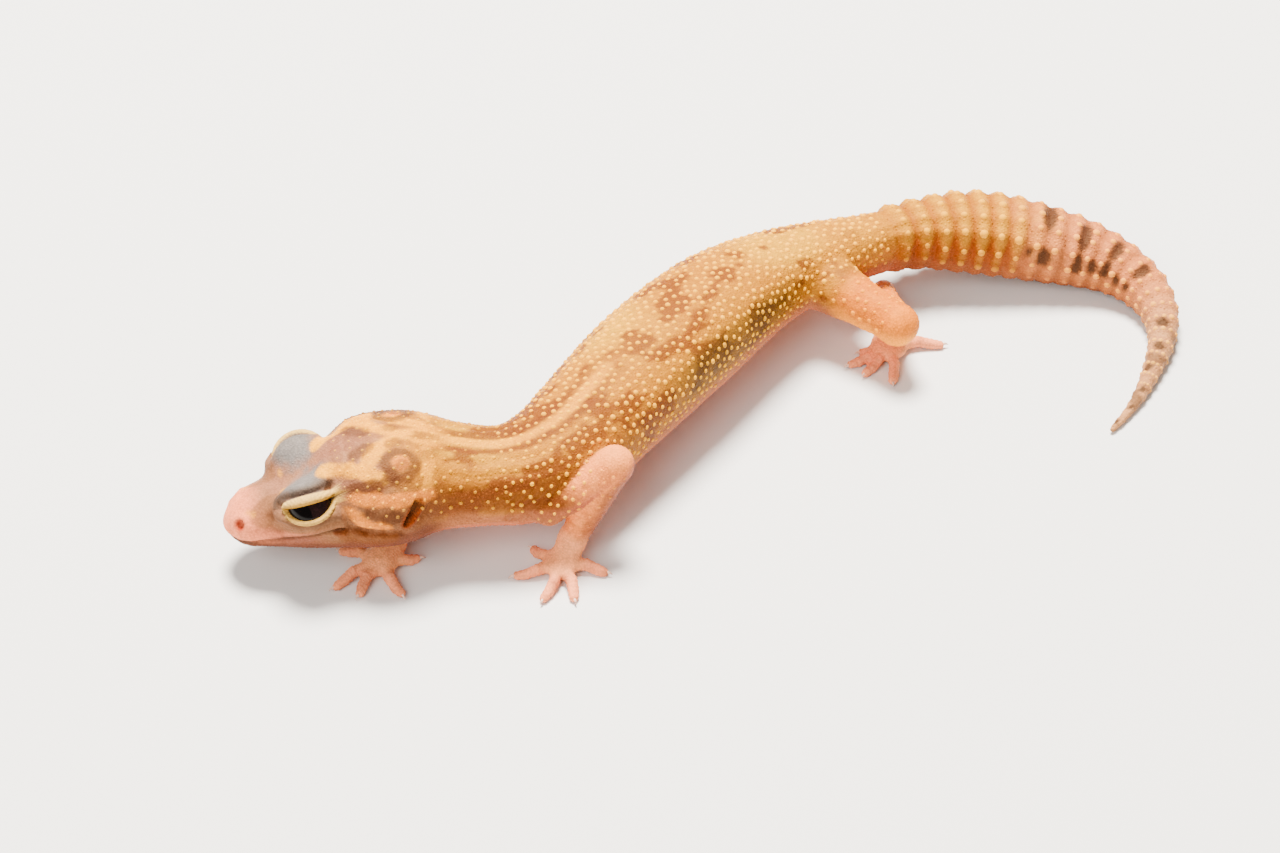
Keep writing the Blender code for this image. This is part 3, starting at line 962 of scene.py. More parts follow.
@dataclass
class Skin:
    """The one skin over the whole animal, from a rough union to its smooth form."""

    form: Form
    voxel: float = 0.5
    body_step: float = 1.5
    body_sides: int = 40
    head_end: float = 27.0
    eye_reach: float = 5.2
    armpit: tuple[float, float, float] = (10.0, -24.5, 9.0)
    armpit_reach: float = 6.0
    evenness: float = 0.6
    made: Object = field(init=False, default=None)

    def rough(self) -> Mesh:
        """Builds the overlapping closed parts that the skin is shrunk from.

        Returns:
            One mesh in millimetres.
        """
        build = bmesh.new()
        spine = self.form.backbone
        inset = self.form.inset
        nose = [spine.nose_round * (1 - np.cos(np.radians(tilt))) for tilt in (4, 22, 40, 58, 76)]
        body = list(np.arange(spine.nose_round, spine.length - spine.tip_round, self.body_step))
        tip = [spine.length - spine.tip_round * (1 - np.sin(np.radians(tilt))) for tilt in (0, 40, 75)]
        add_loft(build, [spine.ring(along, self.body_sides, inset) for along in nose + body + tip])
        for socket in self.form.sockets:
            add_loft(build, ball_rings(socket.centre, socket.axes * (socket.lid_size - inset)[:, None]))
        for limb in self.form.limbs:
            for start, end, radii, part_inset in limb.capsules():
                add_capsule(build, start, end, tuple(radius - part_inset for radius in radii))
            sole = np.stack((compass(limb.aim), np.cross(UP, compass(limb.aim)), UP))
            size = np.array(limb.sizes.palm) - limb.foot_inset
            add_loft(build, ball_rings(limb.palm_centre, sole * size[:, None]))
            for line in limb.toe_lines:
                for start, end, radii in limb.toe_capsules(line):
                    near, far = radii[0] - limb.foot_inset, radii[2] - limb.foot_inset
                    add_capsule(build, start, end, (near, (near + far) / 2, far), 10)
        return finished(build, "skin", outwards=True)

    def refine(self, chosen: Array) -> None:
        """Halves the mesh width where vertices are chosen.

        Args:
            chosen: One flag for each vertex.
        """
        build = bmesh.new()
        build.from_mesh(self.made.data)
        build.verts.ensure_lookup_table()
        edges = [edge for edge in build.edges if all(chosen[vertex.index] for vertex in edge.verts)]
        bmesh.ops.subdivide_edges(build, edges=edges, cuts=1, use_grid_fill=True)
        build.to_mesh(self.made.data)
        build.free()
        self.made.data.update()

    def near_foot(self, points: Array) -> Array:
        """Flags the points of the feet."""
        return np.any([(limb.floor_reach(points) < FOOT_REACH) & (points[:, 2] < 2.6)
                       & (limb.distance(points) < 0.6) for limb in self.form.limbs], axis=0)

    def settle(self, rounds: int) -> Array:
        """Shrinks the mesh onto the form.

        Args:
            rounds: How many steps are taken.

        Returns:
            Distances from the snout, one for each vertex.
        """
        points = read_points(self.made.data)
        moved, along = self.form.settle(points, self.form.backbone.nearest(points), rounds)
        moved[:, 2] = np.maximum(moved[:, 2], 0.0)
        write_points(self.made.data, moved)
        return along

    def even_out(self, rounds: int) -> Array:
        """Relaxes the mesh a few times.

        Args:
            rounds: How many times.

        Returns:
            The vertices' new places.
        """
        for _ in range(rounds):
            relax(self.made.data, self.evenness)
        return read_points(self.made.data)

    def build(self) -> Object:
        """Makes the smooth skin, finer on head, lids and feet.

        Returns:
            The skin object, in millimetres.
        """
        self.made = new_object("skin", self.rough())
        remesh = self.made.modifiers.new("remesh", "REMESH")
        remesh.mode = "VOXEL"
        remesh.voxel_size = self.voxel
        bake_modifiers(self.made)
        log.info("rough skin: %d vertices", len(self.made.data.vertices))
        along = self.settle(2)
        points = self.even_out(3)
        armpit = np.linalg.norm(points - np.array(self.armpit), axis=1) < self.armpit_reach
        self.refine((along < self.head_end) & (points[:, 1] < -25.0) | self.near_foot(points) | armpit)
        self.even_out(2)
        self.settle(2)
        points = read_points(self.made.data)
        eyes = [np.linalg.norm(points - socket.centre, axis=1) for socket in self.form.sockets]
        self.refine(np.minimum(*eyes) < self.eye_reach)
        self.even_out(2)
        self.settle(2)
        relax(self.made.data, 0.5)
        self.settle(1)
        log.info("smooth skin: %d faces", len(self.made.data.polygons))
        return self.made


# ---- folds, lids, lips and ridges ----
@dataclass
class Groove:
    """A crease or ridge between two places of the head, each a distance along and a rise on its side."""

    start: tuple[float, float]
    end: tuple[float, float]
    width: float
    depth: float

    def push(self, survey: Survey) -> Array:
        """How far the crease moves the skin.

        Args:
            survey: The places.

        Returns:
            Distances outwards, negative in a crease.
        """
        place = np.stack((survey.along, survey.rise), axis=1)
        away, share = to_line(place, np.array(self.start), np.array(self.end))
        taper = 0.45 + 0.55 * np.sin(np.pi * np.clip(share, 0.04, 0.96))
        allowed = (np.abs(survey.side) > 1.5) & (survey.limb < 0)
        return -self.depth * taper * bump_at(away, self.width * (0.5 + 0.5 * taper)) * allowed


@dataclass
class Sculptor:
    """Works the folds, lids, lips, nostrils, ears and tail rings into the smooth skin."""

    form: Form
    mouth: tuple = ((-3.0, -0.55), (1.5, -0.4), (3.9, 0.1), (5.7, 0.35), (7.5, 0.8), (9.2, 1.3),
                    (11.5, 1.75), (12.9, 1.95), (14.5, 1.8))
    mouth_end: float = 14.6
    lip_pitch: float = 1.15
    nostril: tuple[float, float, float] = (2.0, 2.7, 1.9)
    nostril_radius: float = 0.48
    nostril_depth: float = 0.75
    ear: tuple[tuple[float, float], tuple[float, float]] = ((21.1, 1.0), (23.7, 3.2))
    ear_width: float = 0.62
    ear_depth: float = 1.15
    margin_notch: float = 0.5
    lid_set_in: float = 0.95
    neck_end: float = 36.0
    whorl_start: float = 102.5
    whorl_pitch: float = 3.0
    whorl_shrink: float = 0.45
    whorl_depth: float = 0.85
    whorl_knobs: tuple[float, float] = (15, 10)
    grooves: tuple[Groove, ...] = (
        Groove((13.4, 1.9), (17.0, 1.3), 0.42, 0.5),
        Groove((16.4, 1.4), (20.2, 0.2), 0.5, 0.55),
        Groove((20.0, 0.3), (21.6, -0.6), 0.5, 0.3),
        Groove((20.6, -0.9), (24.6, 3.9), 0.35, -0.14),
        Groove((22.6, 0.2), (25.6, 3.1), 0.4, 0.3),
        Groove((23.0, -1.6), (33.5, -1.5), 0.55, -0.35),
        Groove((25.0, -2.6), (34.0, -2.5), 0.6, 0.35),
        Groove((27.5, 0.5), (31.5, -0.8), 0.4, 0.18),
        Groove((26.5, 2.0), (30.5, 1.4), 0.4, 0.12),
        Groove((3.4, 2.6), (8.0, 3.9), 0.7, 0.22),
        Groove((5.2, 2.0), (7.9, 2.6), 0.6, 0.16),
        Groove((7.0, 1.5), (12.0, 2.2), 0.35, 0.12),
    )

    def __post_init__(self) -> None:
        """Measures the ringed tail and finds the middles of both nostrils."""
        self.whorl_length = self.form.backbone.length - self.whorl_start
        at, out, high = self.nostril
        centre, _, left, up = self.form.backbone.frame_at(at)
        self.pits = [centre + left * side * out + up * high for side in (1, -1)]

    def whorl_phase(self, along: Array) -> Array:
        """Counts the tail's rings; the count is whole in the grooves between them."""
        rest = 1 - self.whorl_shrink * np.clip((along - self.whorl_start) / self.whorl_length, 0.0, 1.0)
        return -self.whorl_length / (self.whorl_pitch * self.whorl_shrink) * np.log(rest) - 0.1

    def whorl_place(self, number: float) -> float:
        """Distance from the snout of a place given by its ring's number."""
        rate = self.whorl_pitch * self.whorl_shrink / self.whorl_length
        return self.whorl_start + self.whorl_length / self.whorl_shrink * (1 - np.exp(-rate * number))

    def whorl_count(self, along: Array | float) -> Array | float:
        """How many knobs a ring of the tail has."""
        share = np.clip((along - self.whorl_start) / self.whorl_length, 0, 1)
        return np.round(self.whorl_knobs[0] + (self.whorl_knobs[1] - self.whorl_knobs[0]) * share)

    def mouth_line(self, along: Array) -> Array:
        """Rise of the mouth's line."""
        return np.interp(along, *np.array(self.mouth).T)

    def head(self, survey: Survey) -> Array:
        """Lips, ears, brow and cheek folds.

        Args:
            survey: The places.

        Returns:
            Distances outwards.
        """
        along, rise = survey.along, survey.rise
        away = rise - self.mouth_line(along)
        mouth = ramp(along, self.mouth_end + 0.3, self.mouth_end - 0.8) * (survey.limb < 0)
        push = mouth * (-0.26 * bump_at(away, 0.17) + 0.13 * bump_at(away - 0.65, 0.42)
                        + 0.08 * bump_at(away + 0.6, 0.42))
        scales = np.abs(np.sin(np.pi * along / self.lip_pitch)) ** 0.5
        push -= 0.07 * (1 - scales) * mouth * band(away, 0.15, 1.25, 0.3)
        push -= 0.06 * (1 - scales) * mouth * band(away, -1.15, -0.15, 0.3)
        push -= 0.06 * mouth * bump_at(away - 1.3, 0.14) * ramp(along, 2.5, 4.0)
        for groove in self.grooves:
            push += groove.push(survey)
        push -= self.ear_depth * self.ear_share(survey)
        crown = ramp(along, 5.0, 8.5) * ramp(along, 15.5, 12.0) * (rise > 2)
        return push - 0.4 * crown * bump_at(survey.side, 1.7)

    def ear_share(self, survey: Survey) -> Array:
        """Where the ear slits are.

        Args:
            survey: The places.

        Returns:
            1 in the slit, 0 outside it.
        """
        slit = np.array(self.ear[1]) - np.array(self.ear[0])
        place = np.stack((survey.along, survey.rise), axis=1) - np.array(self.ear[0])
        share = place @ slit / (slit @ slit)
        across = np.abs(place @ np.array((-slit[1], slit[0]))) / np.linalg.norm(slit)
        width = self.ear_width * (0.4 + 0.8 * np.clip(share, 0, 1))
        outer = (np.abs(survey.side) > 5.5) & (survey.limb < 0)
        return outer * ramp(across / width, 1.25, 0.55) * band(share, 0.0, 1.02, 0.22)

    def nostrils(self, survey: Survey) -> Array:
        """The pit of each nostril and the small swelling round it.

        Args:
            survey: The places.

        Returns:
            Distances outwards.
        """
        push = np.zeros(len(survey.points))
        for pit in self.pits:
            away = np.linalg.norm(survey.points - pit, axis=1)
            push += 0.13 * bump_at(away - 1.0, 0.45)
            push -= self.nostril_depth * ramp(away, self.nostril_radius * 1.25, self.nostril_radius * 0.6)
        return push

    def body(self, survey: Survey) -> Array:
        """Ribs of skin at the armpit and groin, the tail's rings and the slack of the flank.

        Args:
            survey: The places.

        Returns:
            Distances outwards.
        """
        along, rise, trunk = survey.along, survey.rise, survey.limb < 0
        down = survey.down()
        slack = noise(survey.points * np.array((1.0, 1.0, 0.6)), 5.0, 11) * band(along, 30, 100, 6)
        push = 0.10 * slack * ramp(down, 40, 90)
        wrinkle = np.sin(2 * np.pi * (along - 0.9 * rise) / 0.85 + 2.2 * noise(survey.points, 2.5, 5))
        armpit = band(along, 33.0, 41.5, 2.5) * band(rise, -4.5, 2.2, 1.6)
        groin = band(along, 79.0, 87.0, 2.5) * band(rise, -4.5, 2.0, 1.6)
        push += trunk * (0.10 * armpit + 0.06 * groin) * wrinkle
        lengthwise = np.sin(2 * np.pi * survey.angle / 17.0 + 1.5 * noise(survey.points, 3.0, 8))
        push += 0.09 * trunk * lengthwise * band(along, 26.0, 38.0, 5) * ramp(down, 75, 35)
        phase = self.whorl_phase(along)
        share = ramp(along, self.whorl_start, self.form.backbone.length)
        swell = np.abs(np.sin(np.pi * phase)) ** 0.75
        depth = self.whorl_depth * (1 - 0.85 * share**0.8) * ramp(along, 95.0, 105.0)
        push += trunk * depth * (swell - 0.75) * (0.3 + 0.7 * ramp(down, 150, 100))
        middle = self.whorl_place(np.floor(phase) + 0.6)
        knobs = np.cos(np.radians(survey.angle - 90) * self.whorl_count(middle))
        return push + trunk * depth * 0.2 * knobs * swell

    def legs(self, survey: Survey) -> Array:
        """Creases across the elbow, the knee and the toes.

        Args:
            survey: The places.

        Returns:
            Distances outwards.
        """
        limb, foot = (survey.region == part.value for part in (Region.LIMB, Region.FOOT))
        loose = np.sin(2 * np.pi * survey.limb_along / 1.1 + 2.0 * noise(survey.points, 2.0, 3))
        push = 0.035 * limb * loose + 0.06 * limb * noise(survey.points, 2.2, 21)
        for leg in self.form.limbs:
            near = foot & (leg.floor_reach(survey.points) < FOOT_REACH)
            away = np.linalg.norm(survey.points[near] - leg.palm_centre, axis=1)
            push[near] += 0.035 * np.sin(2 * np.pi * away / 0.62) * ramp(away, 2.0, 3.0)
            push[near] += 0.05 * noise(survey.points[near], 1.3, 31)
        return push

    def lids(self, points: Array) -> Array:
        """Opens the lids round each eye and gives them their thick scaly rims.

        Args:
            points: Skin places.

        Returns:
            The moved places.
        """
        for socket in self.form.sockets:
            local = socket.local(points)
            reach = np.linalg.norm(local, axis=1)
            ahead = unit(local)
            gap, upper, width = socket.opening(ahead)
            past = gap - width
            height = np.where(upper, 0.52 + 0.22 * width, 0.5)
            turn = np.degrees(np.arctan2(ahead[:, 1], ahead[:, 0]))
            notch = 1 - np.abs(np.sin(np.pi * np.radians(turn) * 3.0 / self.margin_notch)) ** 0.6
            rim = socket.radius + height + 0.12 * np.sin(np.pi * np.clip(gap / width, 0, 1)) - 0.09 * notch
            inside = socket.radius - 0.12 - 0.6 * ramp(-gap, 0.0, 0.5)
            target = np.where(gap < 0.0, inside, inside + (rim - inside) * ramp(gap, 0.0, 0.16))
            rim_share = ramp(gap, width + 0.22, width - 0.02)
            crease = np.where(upper, 0.42, 0.16) * bump_at(past - 0.2, 0.2) * ramp(ahead[:, 0], 0.95, 0.8)
            brow = 0.16 * upper * bump_at(past - 0.95, 0.5)
            around = np.minimum(reach, socket.radius + self.lid_set_in + 0.8 * np.maximum(past, 0.0))
            new_reach = around * (1 - rim_share) + target * rim_share - crease + brow
            new_reach = np.where(gap > 0.16, np.maximum(new_reach, socket.radius + 0.15), new_reach)
            share = ramp(ahead[:, 2], -0.05, 0.3) * ramp(reach, 7.4, 6.4) * ramp(gap, 3.0, 2.0)
            points = socket.world(ahead * (reach + (new_reach - reach) * share)[:, None])
        return points

    def apply(self, mesh: Mesh, surveyor: Surveyor) -> Survey:
        """Sculpts the skin and surveys the result.

        Args:
            mesh: The smooth skin, in millimetres.
            surveyor: Finds each vertex's place.

        Returns:
            The smooth skin's survey with the sculpted places.
        """
        survey = surveyor.measure(read_points(mesh))
        push = self.head(survey) * (survey.along < self.neck_end) + self.nostrils(survey)
        push += self.body(survey) + self.legs(survey)
        points = self.lids(survey.points + read(mesh.vertex_normals, "vector", 3) * push[:, None])
        points[:, 2] = np.maximum(points[:, 2], 0.0)
        write_points(mesh, points)
        survey.points = points
        return survey


# ---- colours ----
STUDIO_LIGHT = 4.0


def srgb(red: int, green: int, blue: int) -> Colour:
    """A screen's colour, 0 to 255, as linear light."""
    shares = np.array((red, green, blue)) / 255.0
    return tuple(np.where(shares <= 0.04045, shares / 12.92, ((shares + 0.055) / 1.055) ** 2.4).tolist())


def seen(red: int, green: int, blue: int) -> Colour:
    """The surface colour that looks as given under the studio's light.

    Args:
        red: 0 to 255 as on a screen.
        green: The same.
        blue: The same.

    Returns:
        Three numbers from 0 to 1.
    """
    share = np.minimum((np.array((red, green, blue)) / 255.0) ** 2.2, 0.96)
    light = 0.68 * (share / (1 - share)) ** 0.8
    light[2] -= 0.08 * light[0]
    return tuple(np.clip(light / STUDIO_LIGHT, 0.003, 0.92).tolist())


def colour_mix(base: Array, over: Colour, share: Array) -> Array:
    """Lays one colour over others where its share says."""
    share = np.clip(share, 0.0, 1.0)[:, None]
    return base * (1 - share) + np.array(over) * share


def layered(base: Array | Colour, layers: tuple[tuple[Colour, Array], ...]) -> Array:
    """Lays several colours over others.

    Args:
        base: One colour, or rows of colours.
        layers: Each colour and how much of it shows in each row.

    Returns:
        Rows of colours.
    """
    base = np.asarray(base)
    for over, share in layers:
        base = colour_mix(base, over, share)
    return base


@dataclass(frozen=True)
class Palette:
    """The animal's colours; two of them also hold painted shade."""

    snout: Colour = seen(246, 204, 196)
    muzzle: Colour = seen(200, 148, 118)
    crown: Colour = seen(216, 176, 154)
    mauve: Colour = seen(208, 156, 142)
    slate: Colour = seen(186, 184, 186)
    # painted shade for the creases round the lids, the mouth's seam and the skin inside the lids' gap
    crease_shadow: Colour = seen(118, 92, 84)
    cream: Colour = seen(242, 220, 134)
    cheek_cream: Colour = seen(242, 208, 150)
    brown: Colour = seen(154, 90, 74)
    rust: Colour = seen(184, 104, 72)
    fold_red: Colour = seen(158, 70, 36)
    ear_red: Colour = seen(196, 92, 66)
    nostril_red: Colour = seen(206, 60, 50)
    lip: Colour = seen(206, 140, 128)
    # own pink of the lower head, darkened with painted shade
    jaw_in_shade: Colour = seen(176, 104, 92)
    lid: Colour = seen(238, 226, 186)
    lid_shade: Colour = seen(218, 182, 98)
    back: Colour = seen(228, 188, 84)
    back_yellow: Colour = seen(235, 212, 84)
    back_rust: Colour = seen(188, 108, 78)
    olive: Colour = seen(168, 128, 72)
    olive_dark: Colour = seen(132, 84, 48)
    flank: Colour = seen(220, 164, 136)
    belly: Colour = seen(232, 180, 164)
    knob: Colour = seen(244, 224, 110)
    arm: Colour = seen(246, 208, 182)
    arm_inside: Colour = seen(226, 160, 146)
    forearm_edge: Colour = seen(192, 118, 102)
    hand: Colour = seen(246, 216, 200)
    toe: Colour = seen(244, 212, 198)
    thigh: Colour = seen(238, 190, 84)
    thigh_under: Colour = seen(250, 212, 170)
    tail_root: Colour = seen(234, 206, 60)
    tail_orange: Colour = seen(204, 108, 40)
    tail_pink: Colour = seen(236, 196, 162)
    tail_under: Colour = seen(204, 128, 100)
    tail_mark: Colour = seen(112, 70, 62)
    tail_end: Colour = seen(226, 200, 172)


@dataclass(frozen=True)
class Mark:
    """A soft stroke of colour between two places of the head, each a distance along and an angle."""

    colour: Colour
    start: tuple[float, float]
    end: tuple[float, float]
    half: float
    strength: float = 0.9
    hollow: float = 0.0
    both: bool = True


INK = Palette()
MARKS = (
    Mark(INK.mauve, (13.9, 96), (17.4, 92), 1.6, 0.45, both=False),
    Mark(INK.brown, (15.0, 118), (17.4, 122), 0.9, 0.5),
    Mark(INK.cream, (18.4, 126), (22.4, 110), 1.0, 0.75, both=False),
    Mark(INK.cream, (22.4, 108), (26.5, 98), 0.9, 0.9, both=False),
    Mark(INK.cream, (13.4, 73), (16.6, 65), 0.85),
    Mark(INK.cream, (16.6, 65), (19.7, 52), 1.0),
    Mark(INK.cream, (18.4, 65), (19.9, 77), 0.95),
    Mark(INK.cream, (19.9, 77), (22.6, 90), 0.9),
    Mark(INK.cream, (22.6, 90), (26.4, 84), 0.95),
    Mark(INK.cream, (25.0, 72), (24.8, 52), 0.75, 0.7),
    Mark(INK.cream, (24.8, 52), (24.8, 38), 0.7, 0.7),
    Mark(INK.brown, (22.1, 60), (22.4, 58), 2.3, 0.75, hollow=1.15),
    Mark(INK.cheek_cream, (22.1, 61), (22.3, 60), 0.85, 0.85),
    Mark(INK.brown, (17.4, 75), (19.0, 82), 0.8, 0.65),
    Mark(INK.brown, (21.6, 99), (22.2, 97), 0.7, 0.6),
    Mark(INK.brown, (21.2, 126), (22.4, 124), 1.1, 0.6),
    Mark(INK.brown, (23.4, 93), (27.5, 88), 0.35, 0.6),
    Mark(INK.brown, (24.6, 68), (26.0, 72), 0.5, 0.5),
    Mark(INK.brown, (14.7, 61), (15.6, 50), 0.5, 0.85),
    Mark(INK.brown, (15.4, 49), (18.9, 47), 0.95, 0.85),
    Mark(INK.brown, (18.9, 46), (21.2, 47), 0.7, 0.7),
    Mark(INK.brown, (18.3, 38), (18.8, 37), 0.6, 0.6),
    Mark(INK.cheek_cream, (14.8, 42), (20.9, 33), 0.65, 0.85),
    Mark(INK.cheek_cream, (20.9, 33), (25.2, 30), 0.8, 0.8),
    Mark(INK.cheek_cream, (14.6, 38), (16.4, 18), 0.75, 0.9),
    Mark(INK.cheek_cream, (16.4, 18), (18.6, 10), 0.75, 0.9),
    Mark(INK.brown, (17.2, 27), (18.0, 23), 0.6, 0.7),
    Mark(INK.brown, (14.4, 27), (14.9, 24), 0.5, 0.6),
    Mark(INK.brown, (19.4, 20), (20.3, 17), 0.75, 0.8),
    Mark(INK.fold_red, (13.2, 13), (16.4, 9), 0.5, 0.9),
    Mark(INK.fold_red, (16.4, 9), (20.2, 1), 0.55, 0.9),
    Mark(INK.rust, (14.0, 4), (19.2, -4), 0.8, 0.55),
    Mark(INK.ear_red, (21.2, 8), (23.7, 25), 0.62, 1.0),
    Mark(INK.fold_red, (22.6, 24), (24.2, 27), 0.4, 0.6),
    Mark(INK.muzzle, (6.3, 62), (4.6, 50), 1.6, 0.7),
    Mark(INK.brown, (5.0, 48), (7.8, 46), 0.45, 0.6, both=False),
    Mark(INK.cream, (3.2, 60), (3.6, 54), 0.4, 0.6),
    Mark(INK.cream, (7.7, 84), (8.0, 66), 0.35, 0.5),
)


@dataclass
class Markings:
    """Works out the colour of any place on the skin."""

    form: Form
    sculptor: Sculptor
    ink: Palette = INK
    marks: tuple[Mark, ...] = MARKS

    def head(self, survey: Survey) -> Array:
        """Colours of head and neck.

        Args:
            survey: Places there.

        Returns:
            Rows of three colour values.
        """
        ink, along, down, rise = self.ink, survey.along, survey.down(), survey.rise
        fine = noise(survey.points, 0.9, 41)
        broad = noise(survey.points, 2.6, 43)
        base = layered(ink.crown, (
            (ink.mauve, 0.5 * ramp(broad, -0.2, 0.6)),
            (ink.muzzle, ramp(down, 25, 60) * 0.85),
            (ink.back, ramp(along, 18, 25) * ramp(down, 75, 40)),
            (ink.rust, ramp(along, 18, 25) * ramp(down, 35, 70) * 0.6),
            (ink.lip, ramp(rise, 2.4, 0.9) * ramp(along, 13.0, 9.0)),
            (ink.snout, 0.9 * ramp(along + 0.35 * rise, 7.5, 3.0)),
            # the lower head's colour, darkened with painted shade
            (ink.jaw_in_shade, ramp(down, 84, 100)),
        ))
        for socket in self.form.sockets:
            away = np.linalg.norm(socket.local(survey.points) - np.array((-0.4, 4.2, 1.2)), axis=1)
            base = colour_mix(base, ink.slate, 0.9 * ramp(away + 0.7 * fine, 4.3, 1.6))
        for mark in self.marks:
            base = colour_mix(base, mark.colour, self.stroke(mark, survey, 0.30 * broad, 0.26 * fine))
        away = rise - self.sculptor.mouth_line(along)
        # Painted shade darkens the mouth's seam, and a pale band lies just over it.
        base = layered(base, (
            (ink.crease_shadow, 0.65 * (bump_at(away, 0.2) * ramp(along, 14.8, 13.0))),
            (ink.snout, 0.5 * bump_at(away - 0.75, 0.35) * ramp(along, 13, 6)),
        ))
        for pit in self.sculptor.pits:
            away = np.linalg.norm(survey.points - pit, axis=1)
            base = colour_mix(base, ink.snout, 0.5 * ramp(away, 2.3, 1.2))
            base = colour_mix(base, ink.nostril_red, ramp(away + 0.1 * fine, 1.0, 0.45))
        for socket in self.form.sockets:
            base = self.lid_rims(base, survey.points, socket)
        return base * (1 + 0.07 * fine[:, None])

    def lid_rims(self, base: Array, points: Array, socket: EyeSocket) -> Array:
        """Pale yellow rims, with painted shade in the crease behind them and on the skin inside the gap.

        Args:
            base: Colours so far.
            points: Their places.
            socket: The eye.

        Returns:
            Colours with the rims.
        """
        ahead = unit(socket.local(points))
        gap, upper, width = socket.opening(ahead)
        near = ramp(np.linalg.norm(points - socket.centre, axis=1), 4.75, 4.45) * (ahead[:, 2] > -0.1)
        # painted shade in the crease behind the lid, stronger over the upper lid
        crease = bump_at(gap - width - 0.42, 0.42) * np.where(upper, 0.85, 0.45) * near
        crease = crease * ramp(ahead[:, 0], 0.92, 0.75)
        rim = ramp(gap, width + 0.1, width - 0.1) * near
        return layered(base, (
            # the crease's painted shade, weaker over the right eye
            (self.ink.crease_shadow, crease * (1.0 if socket.side > 0 else 0.35)),
            (self.ink.lid, rim),
            (self.ink.lid_shade, 0.8 * rim * np.where(upper, ramp(gap, 0.6, 0.1), 0.6)),
            # painted shade on the skin tucked inside the lids' gap
            (self.ink.crease_shadow, near * ramp(gap, 0.06, -0.05)),
        ))

    def stroke(self, mark: Mark, survey: Survey, broad: Array, fine: Array) -> Array:
        """How much of a mark shows.

        Args:
            mark: The mark.
            survey: The places.
            broad: How broad noise shifts its outline at the places.
            fine: How fine noise does.

        Returns:
            One share for each place.
        """
        total = np.zeros(len(survey.points))
        for mirrored in (False, True)[:1 + mark.both]:
            ends = [self.form.backbone.surface(along, 180 - angle if mirrored else angle)
                    for along, angle in (mark.start, mark.end)]
            away = to_line(survey.points, *ends)[0] + broad + fine
            here = ramp(away, mark.half + 0.35, mark.half - 0.25)
            if mark.hollow:
                here *= ramp(away, mark.hollow - 0.3, mark.hollow + 0.2)
            total = np.maximum(total, here)
        return mark.strength * total

    def trunk(self, survey: Survey) -> Array:
        """Colours of the neck, trunk and hips.

        Args:
            survey: Places there.

        Returns:
            Rows of three colour values.
        """
        ink, along, down = self.ink, survey.along, survey.down()
        straight = np.stack((along * 0.55, survey.side, survey.rise), axis=1)
        blotch = noise(straight, 2.3, 61, 3)
        broad = noise(straight, 8.0, 67)
        fine = noise(survey.points, 0.8, 71)
        rows = np.cos(np.radians(survey.angle - 90) * 6.0)
        front = ramp(along, 64, 44)
        level = 0.06 - 0.22 * front * ramp(down, 20, 55) - 0.06 * rows + 0.14 * ramp(along, 72, 92)
        dark = ramp(blotch + 0.1 * fine, level, level + 0.14)
        zone = band(along, 57, 84, 9) * band(down, 52, 96, 20) * ramp(survey.side, -2, 2)
        base = layered(ink.back, (
            (ink.back_yellow, ramp(broad, -0.3, 0.4) * ramp(down, 75, 30)),
            (ink.back_rust, 0.85 * dark),
            (ink.back_rust, (0.45 + 0.4 * ramp(along, 46, 38)) * front * band(down, 50, 92, 20)),
            (ink.olive, 0.7 * zone),
            (ink.olive_dark, 0.45 * zone * ramp(blotch, -0.05, 0.12)),
            (ink.back_rust, 0.85 * (band(down, 7, 16, 4) * ramp(along, 58, 44))),
            (ink.cream, 0.7 * ramp(down, 8, 4) * ramp(along, 60, 44)),
            (ink.arm_inside, 0.85 * self.breast(survey)),
            (ink.tail_root, 0.75 * ramp(along, 88, 100) * ramp(down, 105, 70)),
            (ink.flank, ramp(down + 6 * broad, 88, 106)),
            (ink.belly, ramp(down, 108, 130)),
        ))
        return base * (1 + 0.06 * fine[:, None])

    def breast(self, survey: Survey) -> Array:
        """How far places belong to the bare pink skin before and under the arm."""
        low = ramp(survey.rise - 0.12 * (survey.along - 34), -0.2, -1.4)
        return band(survey.along, 29.0, 43.0, 3.0) * low

    def tail(self, survey: Survey) -> Array:
        """Colours of the tail.

        Args:
            survey: Places there.

        Returns:
            Rows of three colour values.
        """
        ink, along, angle, down = self.ink, survey.along, survey.angle, survey.down()
        fine = noise(survey.points, 0.8, 81)
        broad = noise(survey.points, 3.0, 83)
        phase = self.sculptor.whorl_phase(along)
        ring = np.floor(phase + 0.5)
        groove = bump_at((phase + 0.5) % 1.0 - 0.5, 0.26)
        pale = ramp(along + 2.5 * broad, 117, 129)
        cells = np.stack((ring, 0 * ring, 0 * ring), axis=1)
        chance, high, low = (cell_value(cells, seed) for seed in (7, 9, 15))
        top = bump_at((angle - 84 - 30 * (high - 0.5)) / 33, 1.0) * ((ring % 2 == 0) & (chance > 0.1))
        side = bump_at((angle - 20 - 10 * (low - 0.5)) / 17, 1.0) + bump_at((np.abs(angle) - 163) / 17, 1.0)
        spread = top + side * (chance > 0.3) * ramp(along, 142, 138)
        dashes = bump_at(phase + 0.5 - ring - 0.5, 0.44) * spread
        dashes = dashes * ramp(along, 121, 124)
        blots = ramp(along, 147, 151) * ramp(noise(survey.points, 2.4, 89), 0.1, 0.35) * ramp(down, 120, 70)
        base = layered(ink.tail_root, (
            (ink.tail_orange, 0.6 * ramp(down, 45, 85) + 0.8 * groove * ramp(along, 135, 120)),
            (ink.tail_under, ramp(down, 85, 120)),
            (ink.tail_pink, pale * ramp(down, 150, 70)),
            (ink.tail_under, 0.75 * pale * groove * ramp(along, 150, 130)),
            (ink.tail_end, 0.8 * ramp(along, 138, 150)),
            (ink.tail_mark, 0.9 * ramp(dashes + 0.15 * fine, 0.3, 0.6) + 0.6 * blots),
        ))
        return base * (1 + 0.06 * fine[:, None])

